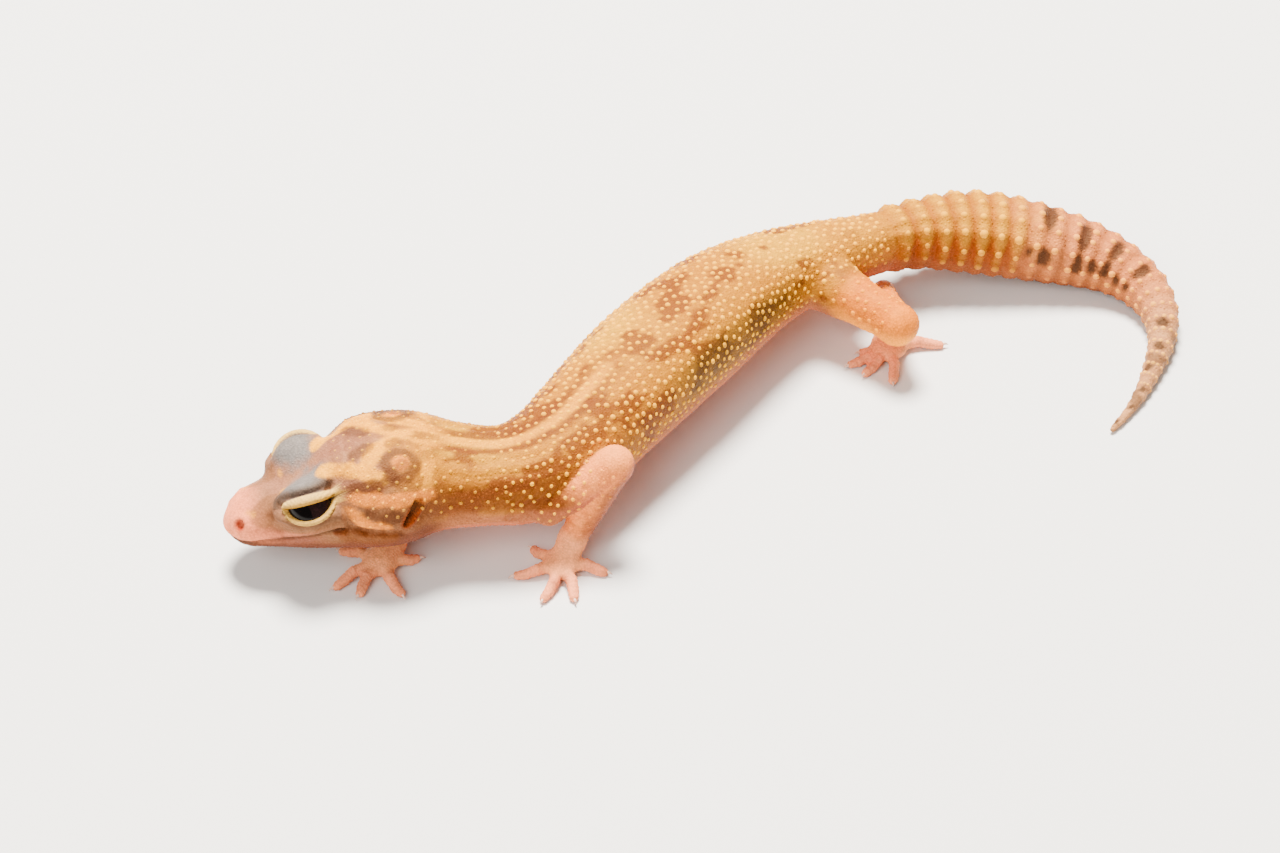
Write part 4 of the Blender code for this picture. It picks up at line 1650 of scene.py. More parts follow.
    def legs(self, survey: Survey) -> Array:
        """Colours of the legs and feet.

        Args:
            survey: Places there.

        Returns:
            Rows of three colour values.
        """
        ink = self.ink
        fine = noise(survey.points, 0.7, 91)
        broad = noise(survey.points, 2.4, 93)
        index = np.maximum(survey.limb, 0)
        sides, ends, centres = (np.array([getattr(leg, name) for leg in self.form.limbs])[index]
                                for name in ("side", "bones", "palm_centre"))
        edge = bump_at(((survey.limb_angle + 120 * sides + 180) % 360 - 180) / 62, 1.0)
        hind = survey.limb >= 2
        outer = ramp(np.abs(survey.limb_angle), 120, 60)[:, None]
        base, under = (np.where(hind[:, None], np.array(back), np.array(front))
                       for back, front in ((ink.thigh, ink.arm), (ink.thigh_under, ink.arm_inside)))
        lower = ramp(survey.limb_along, 8.5, 11.5) * np.where(hind, 0.35, 1.0)
        away = np.linalg.norm((survey.points - centres)[:, :2], axis=1)
        foot = survey.region == Region.FOOT.value
        base = layered(base * outer + under * (1 - outer), (
            (ink.forearm_edge, 0.6 * lower * ramp(edge + 0.25 * broad, 0.2, 0.7)),
            (ink.hand, ramp(survey.limb_along - ends, -2.5, 0.3)),
            (ink.toe, foot * ramp(away, 2.0, 4.0)),
            (ink.arm_inside, 0.35 * foot * ramp(broad, 0.0, 0.5)),
        ))
        return base * (1 + 0.05 * fine[:, None])

    def tone(self, survey: Survey) -> Array:
        """Colour of each surveyed place.

        Args:
            survey: The places.

        Returns:
            Rows of three colour values.
        """
        along = survey.along
        total = self.trunk(survey)
        front, tail, legs = along < 30.0, along > 96.0, survey.limb >= 0
        for chosen, paint, share in (
            (front, self.head, 1 - ramp(along, 24.0, 29.0)),
            (tail, self.tail, ramp(along, 98.0, 106.0)),
            (legs, self.legs, ramp(survey.limb_along, 1.5, 5.0)),
        ):
            part = share[chosen, None]
            total[chosen] = paint(survey.some(chosen)) * part + total[chosen] * (1 - part)
        return np.clip(total, 0.0, 1.0)


# ---- the sheet on which the skin is laid out ----
@dataclass(frozen=True)
class Chart:
    """A rectangle of the sheet for one length of body, in millimetres."""

    corner: tuple[float, float]
    size: tuple[float, float]
    start: float
    end: float


def unwrapped(angle: Array, middle: Array) -> Array:
    """Degrees of corners on the same side of the seam as their faces' middles."""
    middle = middle % 360
    return middle + (angle - middle + 180) % 360 - 180


@dataclass
class Sheet:
    """Unwraps the skin's own shape: lengths run along the sheet, the way round runs up it."""

    form: Form
    width: float = 118.0
    seam: float = 270.0
    trunk: Chart = Chart((0.5, 0.5), (68.5, 49.5), 34.0, 102.5)
    tail: Chart = Chart((0.5, 51.0), (66.5, 35.0), 102.5, 168.5)
    head: Chart = Chart((70.0, 0.5), (43.0, 64.0), -1.0, 34.0)
    limb_size: tuple[float, float] = (27.0, 14.5)
    limb_corner: tuple[float, float] = (0.5, 87.0)
    limb_step: tuple[float, float] = (28.0, 15.2)
    limb_length: float = 24.0
    foot_size: tuple[float, float] = (11.6, 12.6)
    foot_corner: tuple[float, float] = (69.0, 65.5)
    foot_step: tuple[float, float] = (12.1, 13.2)
    foot_reach: float = 7.9

    def body(self, chart: Chart, along: Array, turn: Array) -> Array:
        """Lays out part of the body.

        Args:
            chart: Where it goes.
            along: Distances from the snout.
            turn: Degrees from the seam under the belly.

        Returns:
            Rows of two sheet coordinates in millimetres.
        """
        share = np.clip((along - chart.start) / (chart.end - chart.start), 0.0, 1.0)
        return np.array(chart.corner) + np.stack((share, np.clip(turn / 360, 0, 1)), axis=1) * chart.size

    def lay(self, mesh: Mesh, survey: Survey) -> Array:
        """Works out the skin's UV map.

        Args:
            mesh: The skin.
            survey: Its vertices' survey.

        Returns:
            One pair of coordinates for each corner.
        """
        corners = read(mesh.loops, "vertex_index", 1)
        totals = read(mesh.polygons, "loop_total", 1)
        face = np.repeat(np.arange(len(totals)), totals)
        first = corners[np.concatenate(((0,), np.cumsum(totals)[:-1]))][face]
        points, along, start = survey.points, survey.along[corners], survey.along[first]
        turn = unwrapped(survey.angle[corners] + 360 - self.seam, survey.angle[first] + 360 - self.seam)
        place = self.body(self.trunk, along, turn)
        for chart, chosen in ((self.tail, start > self.tail.start), (self.head, start < self.head.end)):
            place[chosen] = self.body(chart, along[chosen], turn[chosen])
        upwards = read(mesh.polygons, "normal", 3)[face, 2] > 0
        for index, leg in enumerate(self.form.limbs):
            mine = survey.limb[first] == index
            reach, angle = leg.reach(points[corners[mine]])
            face_angle = leg.reach(points[first[mine]])[1]
            round_limb = unwrapped(np.degrees(angle) + 180, np.degrees(face_angle) + 180)
            corner = np.array(self.limb_corner) + np.array((index % 2, index // 2)) * self.limb_step
            share = np.stack((reach / self.limb_length, round_limb / 360), axis=1)
            place[mine] = corner + np.clip(share, 0, 1) * self.limb_size
            for row, top in enumerate((True, False)):
                sole = mine & (survey.region[first] == Region.FOOT.value) & (upwards == top)
                flat = (points[corners[sole]] - leg.palm_centre)[:, :2] / self.foot_reach
                corner = np.array(self.foot_corner) + np.array((index, row)) * self.foot_step
                place[sole] = corner + (np.clip(flat, -1, 1) / 2 + 0.5) * self.foot_size
        return place / self.width


# ---- attributes, finishes ----
def store(mesh: Mesh, name: str, values: Array, kind: str, domain: str = "POINT") -> None:
    """Writes an attribute.

    Args:
        mesh: The mesh.
        name: The attribute's name.
        values: Its values, one row for each element; colours get a full alpha.
        kind: Its data type.
        domain: What it belongs to.
    """
    if kind == "FLOAT_COLOR":
        values = np.concatenate((values, np.ones((len(values), 1))), axis=1)
    attribute = mesh.attributes.get(name) or mesh.attributes.new(name, kind, domain)
    slot = {"FLOAT": "value", "FLOAT_COLOR": "color", "FLOAT_VECTOR": "vector"}[kind]
    attribute.data.foreach_set(slot, np.asarray(values, np.float32).ravel())


def store_sheet(mesh: Mesh, places: Array) -> None:
    """Writes the only UV map, on which the finish is laid out.

    Args:
        mesh: The mesh.
        places: One pair of coordinates for each corner.
    """
    for layer in list(mesh.uv_layers):
        mesh.uv_layers.remove(layer)
    layer = mesh.uv_layers.new(name="OFBake")
    layer.data.foreach_set("uv", np.asarray(places, np.float32).ravel())


@dataclass
class Graph:
    """Adds nodes to one tree."""

    tree: bpy.types.NodeTree

    def add(self, kind: str, inputs: dict | None = None, **settings: str | bool) -> bpy.types.Node:
        """Adds a node.

        Args:
            kind: Its type.
            inputs: A value or another node's output for each of its inputs that is set.
            settings: The node's own properties.

        Returns:
            The node.
        """
        node = self.tree.nodes.new(kind)
        for name, value in settings.items():
            setattr(node, name, value)
        for name, value in (inputs or {}).items():
            if isinstance(value, NodeSocket):
                self.tree.links.new(value, node.inputs[name])
            else:
                node.inputs[name].default_value = value
        return node

    def maths(self, operation: str, first: NodeSocket,
              second: float | NodeSocket = 0.0) -> NodeSocket:
        """Result of a mathematics node."""
        return self.add("ShaderNodeMath", {0: first, 1: second}, operation=operation).outputs["Value"]

    def span(self, value: NodeSocket, start: float, end: float, low: float = 0.0,
             high: float = 1.0, kind: str = "LINEAR") -> NodeSocket:
        """Maps a value from one range to another.

        Args:
            value: What is read.
            start: Where the result is low.
            end: Where it is high.
            low: The result at start.
            high: The result at end.
            kind: How it goes from one to the other.

        Returns:
            The result.
        """
        inputs = {"Value": value, "From Min": start, "From Max": end, "To Min": low, "To Max": high}
        return self.add("ShaderNodeMapRange", inputs, interpolation_type=kind).outputs["Result"]

    def mix(self, share: NodeSocket, first: NodeSocket | tuple,
            second: Colour) -> NodeSocket:
        """Result of laying a second colour over a first one, which has an alpha or is a socket."""
        inputs = {"Factor": share, "A": first, "B": (*second, 1.0)}
        return self.add("ShaderNodeMix", inputs, data_type="RGBA").outputs["Result"]

    def attribute(self, name: str, output: str) -> NodeSocket:
        """A mesh attribute in a material."""
        return self.add("ShaderNodeAttribute", attribute_name=name).outputs[output]


def new_material(name: str, values: dict) -> tuple[Material, Graph, bpy.types.Node]:
    """Starts a material.

    Args:
        name: Its name.
        values: Uniform values of the shader's inputs.

    Returns:
        The material, its graph and its shader.
    """
    material = bpy.data.materials.new(name)
    material.use_nodes = True
    shader = material.node_tree.nodes["Principled BSDF"]
    for socket, value in values.items():
        shader.inputs[socket].default_value = value
    return material, Graph(material.node_tree), shader


@dataclass(frozen=True)
class HideFinish:
    """Scaly hide: the stored tone, broken up finely, with a grain of minute scales whose edges get painted
    shade.
    """

    name: str
    roughness: float = 0.52
    grain: float = 0.3
    grain_height: float = 0.07
    mottle: float = 0.9
    # depth of the painted shade at the minute scales' edges, and also the mottle's spread
    shade: float = 0.2
    specular: float = 0.12
    gloss_tint: Colour = (1.0, 0.62, 0.22)

    def make(self) -> Material:
        """Builds the material.

        Returns:
            A new material.
        """
        material, graph, shader = new_material(self.name, {
            "Specular IOR Level": self.specular, "Specular Tint": (*self.gloss_tint, 1.0)})
        place = graph.add("ShaderNodeTexCoord").outputs["Object"]
        grain = {"Vector": place, "Scale": 1.0 / (self.grain * MM), "Randomness": 0.75}
        scales = graph.add("ShaderNodeTexVoronoi", grain).outputs["Distance"]
        mottle = {"Vector": place, "Scale": 1.0 / (self.mottle * MM), "Detail": 4.0}
        speck = graph.add("ShaderNodeTexNoise", mottle).outputs["Fac"]
        # painted shade: each minute scale darkens towards its edge, where the bump sinks
        edge = graph.span(scales, 0.15, 0.75, 1.0 + 0.3 * self.shade, 1.0 - self.shade)
        spots = graph.span(speck, 0.3, 0.7, 1.0 - 0.5 * self.shade, 1.0 + 0.4 * self.shade)
        tint = {0: graph.attribute("tone", "Color"), "Scale": graph.maths("MULTIPLY", edge, spots)}
        tinted = graph.add("ShaderNodeVectorMath", tint, operation="SCALE").outputs["Vector"]
        gloss = graph.span(speck, 0.0, 1.0, self.roughness - 0.08, self.roughness + 0.1)
        relief = {"Height": scales, "Strength": 0.7, "Distance": self.grain_height * MM}
        bump = graph.add("ShaderNodeBump", relief, invert=True).outputs["Normal"]
        for name, value in (("Base Color", tinted), ("Roughness", gloss), ("Normal", bump)):
            graph.tree.links.new(value, shader.inputs[name])
        return material


@dataclass(frozen=True)
class EyeFinish:
    """Dark wet eye: an upright slit in a brown iris with fine veins, wet on top."""

    name: str = "gecko_eye"
    iris: Colour = srgb(24, 12, 11)
    vein: Colour = srgb(38, 20, 20)
    pupil: Colour = srgb(4, 2, 2)
    white: Colour = srgb(9, 5, 5)
    pupil_middle: float = -0.34
    pupil_half_width: float = 0.42
    pupil_half_height: float = 0.82
    iris_reach: float = 0.86
    specular: float = 0.12
    roughness: float = 0.12

    def make(self) -> Material:
        """Builds the material; it reads the globe's own gaze attribute.

        Returns:
            A new material.
        """
        material, graph, shader = new_material(self.name, {
            "Specular IOR Level": self.specular, "Roughness": self.roughness})
        gaze = graph.attribute("gaze", "Vector")
        x, y, z = graph.add("ShaderNodeSeparateXYZ", {"Vector": gaze}).outputs
        veins = {"Vector": gaze, "Scale": 9.0, "Detail": 5.0, "Distortion": 1.2}
        threads = graph.add("ShaderNodeTexNoise", veins).outputs["Fac"]
        threads = graph.span(threads, 0.45, 0.7, kind="SMOOTHSTEP")
        iris = graph.mix(threads, (*self.iris, 1.0), self.vein)
        tall = graph.maths("ABSOLUTE", graph.maths("DIVIDE", y, self.pupil_half_height))
        aside = graph.maths("SUBTRACT", x, self.pupil_middle)
        wide = graph.maths("ABSOLUTE", graph.maths("DIVIDE", aside, self.pupil_half_width))
        slit = graph.maths("ADD", graph.maths("POWER", tall, 2.0), wide)
        eye = graph.mix(graph.span(slit, 1.12, 0.92, kind="SMOOTHSTEP"), iris, self.pupil)
        rim = graph.span(z, self.iris_reach - 0.34, self.iris_reach - 0.44, kind="SMOOTHSTEP")
        graph.tree.links.new(graph.mix(rim, eye, self.white), shader.inputs["Base Color"])
        return material


@dataclass(frozen=True)
class HornFinish:
    """Pale horn, darker at the tip of each claw."""

    name: str = "gecko_claw"
    root: Colour = srgb(240, 206, 184)
    tip: Colour = srgb(196, 150, 128)
    roughness: float = 0.28

    def make(self) -> Material:
        """Builds the material; it reads the claws' own tip attribute.

        Returns:
            A new material.
        """
        material, graph, shader = new_material(self.name, {"Roughness": self.roughness})
        tone = graph.mix(graph.attribute("towards_tip", "Fac"), (*self.root, 1.0), self.tip)
        graph.tree.links.new(tone, shader.inputs["Base Color"])
        return material


# ---- the coat ----
@dataclass(frozen=True)
class Dome:
    """One knob or scale of the coat as rings over a base circle of radius 1."""

    name: str
    sides: int
    rings: tuple[tuple[float, float], ...]
    height: float

    def make(self) -> Object:
        """Builds the shape that the coat repeats, kept out of the render.

        Returns:
            A hidden object with a spot attribute, the place on the dome as seen from above.
        """
        build = bmesh.new()
        rows = add_walls(build, [[(np.cos(turn) * reach, np.sin(turn) * reach, level * self.height)
                                  for turn in turns(self.sides)] for reach, level in self.rings])
        top = build.verts.new((0.0, 0.0, self.height))
        for step in range(self.sides):
            build.faces.new((rows[-1][step], rows[-1][(step + 1) % self.sides], top))
        mesh = finished(build, self.name)
        mesh.shade_smooth()
        store(mesh, "spot", read_points(mesh) * (0.5, 0.5, 0.0), "FLOAT_VECTOR")
        made = new_object(self.name, mesh)
        made.hide_render = True
        return made


KNOB = Dome("knob_shape", 9, ((1.22, -0.9), (0.98, 0.12), (0.7, 0.62), (0.34, 0.92)), 0.62)
SCALE = Dome("scale_shape", 6, ((1.0, -0.6), (0.72, 0.5)), 0.3)


@dataclass
class CoatTree:
    """Geometry Nodes that set a dome on each point, or scatter domes over a surface first."""

    name: str
    scattered: bool
    dome: Object
    finish: Material
    size: float
    spread: float
    spot_share: float = 0.003

    def __post_init__(self) -> None:
        """Builds the tree with its named inputs."""
        self.tree = bpy.data.node_groups.new(self.name, "GeometryNodeTree")
        face = self.tree.interface
        face.new_socket("Geometry", in_out="OUTPUT", socket_type="NodeSocketGeometry")
        kinds = {"Geometry": "Geometry", "Dome": "Object", "Spacing": "Float", "Size": "Float",
                 "Spread": "Float", "Finish": "Material", "Seed": "Int"}
        made = {name: face.new_socket(name, in_out="INPUT", socket_type="NodeSocket" + kind)
                for name, kind in kinds.items()}
        self.inputs = {name: socket.identifier for name, socket in made.items()}
        graph = Graph(self.tree)
        given = graph.add("NodeGroupInput").outputs
        points, facing = given["Geometry"], self.named(graph, "facing", "FLOAT_VECTOR")
        if self.scattered:
            scatter = graph.add("GeometryNodeDistributePointsOnFaces", {
                "Mesh": points, "Distance Min": given["Spacing"], "Density Max": 5.0 / MM**2,
                "Density Factor": self.named(graph, "cover", "FLOAT"), "Seed": given["Seed"],
            }, distribute_method="POISSON").outputs
            points, facing = scatter["Points"], scatter["Normal"]
        shape = graph.add("GeometryNodeObjectInfo", {"Object": given["Dome"]})
        align = graph.add("FunctionNodeAlignRotationToVector", {"Vector": facing}, axis="Z")
        spin = graph.add("FunctionNodeRandomValue", {"Max": 2 * np.pi, "Seed": given["Seed"]})
        turn = graph.add("FunctionNodeAxisAngleToRotation", {"Angle": spin.outputs[1]})
        rotate = graph.add("FunctionNodeRotateRotation", {
            "Rotation": align.outputs["Rotation"], "Rotate By": turn.outputs["Rotation"],
        }, rotation_space="LOCAL")
        jitter = graph.add("FunctionNodeRandomValue", {2: 0.0, 3: 1.0, "Seed": given["Seed"]})
        vary = graph.maths("MULTIPLY", jitter.outputs[1], given["Spread"])
        whole = graph.maths("ADD", vary, given["Size"])
        size = graph.maths("MULTIPLY", whole, self.named(graph, "size", "FLOAT"))
        instances = graph.add("GeometryNodeInstanceOnPoints", {
            "Points": points, "Instance": shape.outputs["Geometry"], "Rotation": rotate.outputs["Rotation"],
            "Scale": size})
        realize = graph.add("GeometryNodeRealizeInstances", {"Geometry": instances.outputs["Instances"]})
        finish = graph.add("GeometryNodeSetMaterial", {
            "Geometry": realize.outputs["Geometry"], "Material": given["Finish"]})
        graph.add("NodeGroupOutput", {"Geometry": finish.outputs["Geometry"]})

    def named(self, graph: Graph, name: str, kind: str) -> NodeSocket:
        """Value of an attribute in the tree."""
        node = graph.add("GeometryNodeInputNamedAttribute", {"Name": name}, data_type=kind)
        return node.outputs["Attribute"]

    def run(self, carrier: Object, spacing: float, seed: int) -> None:
        """Turns a carrier mesh into its coat.

        Args:
            carrier: The object that holds points or a surface.
            spacing: The least distance between two scattered domes.
            seed: Fixes the scatter.
        """
        modifier = carrier.modifiers.new(self.name, "NODES")
        modifier.node_group = self.tree
        for name, value in (("Dome", self.dome), ("Spacing", spacing), ("Size", self.size),
                            ("Spread", self.spread), ("Finish", self.finish), ("Seed", seed)):
            modifier[self.inputs[name]] = value
        bake_modifiers(carrier)
        mesh = carrier.data
        spots, patches = (read(mesh.attributes[name].data, "vector", 3)[:, :2] for name in ("spot", "patch"))
        places = (patches + spots * self.spot_share)[read(mesh.loops, "vertex_index", 1)]
        store_sheet(mesh, np.clip(places, 0.0, 1.0))
        for name in ("spot", "patch", "size", "facing", "cover"):
            if mesh.attributes.get(name) is not None:
                mesh.attributes.remove(mesh.attributes[name])


@dataclass
class Hide:
    """The sculpted skin, still in millimetres, with what the coat reads from it."""

    made: Object
    survey: Survey
    tone: Array
    places: Array

    def __post_init__(self) -> None:
        """Builds the search tree over the skin."""
        self.faces = [tuple(face.vertices) for face in self.made.data.polygons]
        self.search = BVHTree.FromPolygons(self.survey.points.tolist(), self.faces)


@dataclass
class KnobRows:
    """Loose rows of knobs over one length of the body."""

    name: str
    start: float
    end: float
    pitch: float
    around: float
    radius: float
    widest: float
    flank_radius: float
    seed: int
    slot: str
    paleness: float = 0.75
    whorls: bool = False


@dataclass
class Coat:
    """Knobs in loose rows and the small scales between them."""

    form: Form
    markings: Markings
    surveyor: Surveyor
    placement: Placement
    rows: tuple[KnobRows, ...] = (
        KnobRows("head_knobs", 15.5, 34.0, 1.4, 1.45, 0.22, 84.0, 0.24, 3, "head_skin", 0.35),
        KnobRows("trunk_knobs", 34.0, 101.5, 1.2, 1.22, 0.33, 104.0, 0.26, 4, "trunk_skin", 0.85),
        KnobRows("tail_knobs", 102.5, 158.0, 3.0, 1.7, 0.62, 128.0, 0.52, 5, "tail_skin", 0.4, True),
    )
    jitter: float = 0.2
    finer: float = 0.3
    closeness: float = 0.76
    sink: float = 0.22
    ring_radius: float = 0.56
    # depth of the painted shadow round each knob's foot
    knob_shadow_depth: float = 0.25
    leg_pitch: float = 1.45
    leg_around: float = 1.55

    def body_roots(self, rows: KnobRows, skin: BVHTree) -> tuple[Array, Array, Array]:
        """Finds where the knobs of one length stand.

        Args:
            rows: The length's sizes.
            skin: Search tree over the skin.

        Returns:
            Roots, directions and radii.
        """
        sculptor = self.markings.sculptor
        random = np.random.default_rng(rows.seed)
        finer = 1.0 if rows.whorls else self.finer
        found = []
        along = rows.start
        number = 0
        while along < rows.end:
            girth = float(self.form.backbone.values(np.array((along,)))[0, :2].mean())
            step = np.degrees(rows.around * finer / girth)
            pitch = rows.pitch * finer
            at = along
            grown = 0.75 + 0.25 * min(1.0, (along - rows.start) / 10.0)
            if rows.whorls:
                at = sculptor.whorl_place(number + 0.6)
                pitch = at - sculptor.whorl_place(number - 0.4)
                step = 360.0 / sculptor.whorl_count(at)
                share = (along - rows.start) / (rows.end - rows.start)
                grown = (1 - 0.55 * share) * (0.62 + 0.38 * min(1.0, number / 4))
            for angle in 90 + step * np.arange(np.ceil(-rows.widest / step), rows.widest / step):
                place = at + self.jitter * 0.3 * random.uniform(-1, 1)
                turn = angle + self.jitter * step * random.uniform(-1, 1) * (0.3 if rows.whorls else 1.0)
                flank = (abs(turn - 90) / rows.widest) ** 1.5
                size = rows.radius + (rows.flank_radius - rows.radius) * flank
                size *= grown * random.uniform(0.84, 1.12)
                hit = self.cast(skin, float(place), turn)
                if hit is not None and rows.whorls:
                    found.append((hit[0] - self.sink * size * hit[2], hit[2], size))
                elif hit is not None:
                    found.append((*hit[:2], size))
            along += pitch
            number += 1
        if not rows.whorls:
            found = self.thinned(found, rows.pitch * self.closeness, random)
        return tuple(np.array(part) for part in zip(*found))

    def thinned(self, found: list[tuple], spacing: float, random: np.random.Generator) -> list[tuple]:
        """Keeps roots in a random order wherever none stands too close already.

        Args:
            found: Root, direction and radius of each.
            spacing: The least distance between two roots.
            random: Fixes the order.

        Returns:
            Those that stay.
        """
        roots = np.array([item[0] for item in found])
        free = np.ones(len(found), bool)
        kept = []
        for index in random.permutation(len(found)):
            if free[index]:
                kept.append(found[index])
                free &= np.linalg.norm(roots - roots[index], axis=1) > spacing
        return kept

    def cast(self, skin: BVHTree, along: float, angle: float) -> tuple[Array, Array, Array] | None:
        """Finds the skin over a place of the backbone.

        Args:
            skin: Search tree over the skin.
            along: Distance from the snout.
            angle: Degrees round the body.

        Returns:
            The place, the skin's direction there and the direction outwards, or None over a limb.
        """
        spine = self.form.backbone
        outer = spine.surface(along, angle)
        line = outer - spine.axis(np.array((along,)))[0]
        aim, lift = unit(line), 2.5
        reach = lift + 0.5 * float(np.linalg.norm(line))
        hit, normal, _, away = skin.ray_cast(Vector(outer + aim * lift), Vector(-aim), reach)
        if hit is None or abs(away - lift) > 1.3:
            return None
        return np.array(hit), np.array(normal), aim

    def leg_roots(self, leg: Limb, skin: BVHTree, seed: int) -> tuple[Array, Array, Array]:
        """Finds where the knobs of a leg stand, on its outer side.

        Args:
            leg: The leg.
            skin: Search tree over the skin.
            seed: Fixes the scatter.

        Returns:
            Roots, directions and radii.
        """
        random = np.random.default_rng(seed)
        found = []
        hind = leg.sizes is HIND
        for part, (start, end) in enumerate(zip(leg.joints[:2], leg.joints[1:3])):
            line = end - start
            length = float(np.linalg.norm(line))
            across = unit(np.cross(line, UP))
            over = unit(np.cross(across, line))
            radius = leg.sizes.radii[1 if part == 0 else 3]
            at = 0.25 * length if part == 0 else 0.6
            number = 0
            while at < length - 0.6:
                step = np.degrees(self.leg_around / radius)
                for angle in np.arange(-95 + step / 2 * (number % 2), 96, step):
                    turn = np.radians(angle + random.uniform(-9, 9))
                    aim = across * np.sin(turn) + over * np.cos(turn)
                    origin = start + unit(line) * (at + random.uniform(-0.3, 0.3)) + aim * (radius + 2.2)
                    hit, normal, _, _ = skin.ray_cast(Vector(origin), Vector(-aim), 3.2)
                    if hit is not None and (hind or part == 1) and random.uniform() < 0.85:
                        size = (0.28 if hind and part == 0 else 0.19) * random.uniform(0.75, 1.2)
                        found.append((np.array(hit), np.array(normal), size))
                at += self.leg_pitch
                number += 1
        return tuple(np.array(part) for part in zip(*found))

    def knobs(self, name: str, found: tuple[Array, Array, Array], hide: Hide, paleness: float) -> Object:
        """Makes the carrier of one group of knobs: a point for each root.

        Args:
            name: The piece's name.
            found: Roots, directions and radii.
            hide: The skin.
            paleness: How much paler than the skin a knob is.

        Returns:
            The carrier, in metres.
        """
        survey = self.surveyor.measure(found[0])
        keep = self.clear(survey)
        roots, facings, radii = (item[keep] for item in found)
        survey = survey.some(keep)
        mesh = bpy.data.meshes.new(name)
        mesh.from_pydata(self.placement.points(roots).tolist(), [], [])
        tone = self.markings.tone(survey)
        pale = paleness * np.random.default_rng(len(roots)).uniform(0.75, 1.1, len(roots))
        pale = pale * ramp(survey.down(), 118, 90) * ramp(tone.mean(axis=1), 0.02, 0.08)
        tone = np.clip(colour_mix(tone * 1.12, self.markings.ink.knob, pale), 0, 1)
        patches = np.zeros((len(roots), 3))
        for row, root in enumerate(roots):
            face = hide.made.data.polygons[hide.search.find_nearest(Vector(root))[2]]
            patches[row, :2] = hide.places[list(face.loop_indices)].mean(axis=0)
        for attribute, values, kind in (("tone", tone, "FLOAT_COLOR"), ("facing", facings, "FLOAT_VECTOR"),
                                        ("size", radii * MM, "FLOAT"), ("patch", patches, "FLOAT_VECTOR")):
            store(mesh, attribute, values, kind)
        return new_object(name, mesh)

    def paint_knob_shadows(self, hide: Hide, roots: Array) -> Array:
        """Paints shadow into the skin's colour in a ring round each knob.

        Args:
            hide: The skin.
            roots: Where knobs stand.

        Returns:
            The colours with the painted shadows.
        """
        tree = KDTree(len(roots))
        for index, root in enumerate(roots):
            tree.insert(Vector(root), index)
        tree.balance()
        away = np.array([tree.find(Vector(point))[2] for point in hide.survey.points])
        # painted shadow round each knob's foot, taking more green and blue than red
        ring = bump_at(away - self.ring_radius, 0.28) * (hide.survey.region != Region.FOOT.value)
        return hide.tone * (1 - self.knob_shadow_depth * ring[:, None] * np.array((0.7, 1.0, 1.15)))

    def clear(self, survey: Survey) -> Array:
        """Which roots keep off the ears, the eyes and the folds beside the mouth.

        Args:
            survey: The roots' survey.

        Returns:
            One flag for each.
        """
        eyes = [np.linalg.norm(survey.points - socket.centre, axis=1) for socket in self.form.sockets]
        fold = (survey.along < 21.0) & (survey.rise < 1.6)
        bare = (survey.limb < 0) & (self.markings.breast(survey) > 0.35)
        ear = self.markings.sculptor.ear_share(survey) < 0.05
        return ear & (np.minimum(*eyes) > 5.0) & ~fold & ~bare

    def scale_sizes(self, survey: Survey) -> tuple[Array, Array]:
        """Radius and density of the small scales.

        Args:
            survey: The skin's survey.

        Returns:
            Both for each vertex.
        """
        size = 0.18 + 0.05 * ramp(survey.down(), 100, 130)
        head = 0.10 + 0.04 * ramp(survey.along, 3.0, 12.0)
        size = np.where(survey.region == Region.HEAD.value, head, size)
        size = np.where(survey.limb >= 0, 0.14, size)
        size = np.where(survey.region == Region.FOOT.value, 0.125, size)
        cover = 1.0 - ramp(self.markings.sculptor.ear_share(survey), 0.2, 0.5)
        for pit in self.markings.sculptor.pits:
            cover *= ramp(np.linalg.norm(survey.points - pit, axis=1), 0.45, 0.75)
        folds = band(survey.along, 33.0, 41.5, 2.0) * band(survey.rise, -4.5, 2.2, 1.6)
        cover *= 1.0 - folds * (survey.limb < 0)
        for socket in self.form.sockets:
            local = socket.local(survey.points)
            ahead = unit(local)
            near = (np.linalg.norm(local, axis=1) < 5.3) & (ahead[:, 2] > 0)
            cover[near & (socket.opening(ahead)[0] < socket.upper_rim + 0.1)] = 0.0
        cover[survey.points[:, 2] < 0.12] = 0.0
        return size, cover

    def ground(self, name: str, hide: Hide, chosen: Array, size: Array, cover: Array) -> Object:
        """Copies part of the skin for small scales to be scattered on.

        Args:
            name: The piece's name.
            hide: The skin.
            chosen: Which of its faces are taken.
            size: Radius of the scales at each vertex.
            cover: How densely they stand at each vertex.

        Returns:
            The carrier, in metres.
        """
        mesh = hide.made.data.copy()
        store(mesh, "tone", hide.tone * 1.05, "FLOAT_COLOR")
        store(mesh, "size", size * MM, "FLOAT")
        store(mesh, "cover", cover, "FLOAT")
        store(mesh, "patch", np.pad(hide.places, ((0, 0), (0, 1))), "FLOAT_VECTOR", "CORNER")
        build = bmesh.new()
        build.from_mesh(mesh)
        build.faces.ensure_lookup_table()
        others = [build.faces[index] for index in np.flatnonzero(~chosen)]
        bmesh.ops.delete(build, geom=others, context="FACES")
        build.to_mesh(mesh)
        build.free()
        made = new_object(name, mesh)
        self.placement.apply(made)
        return made


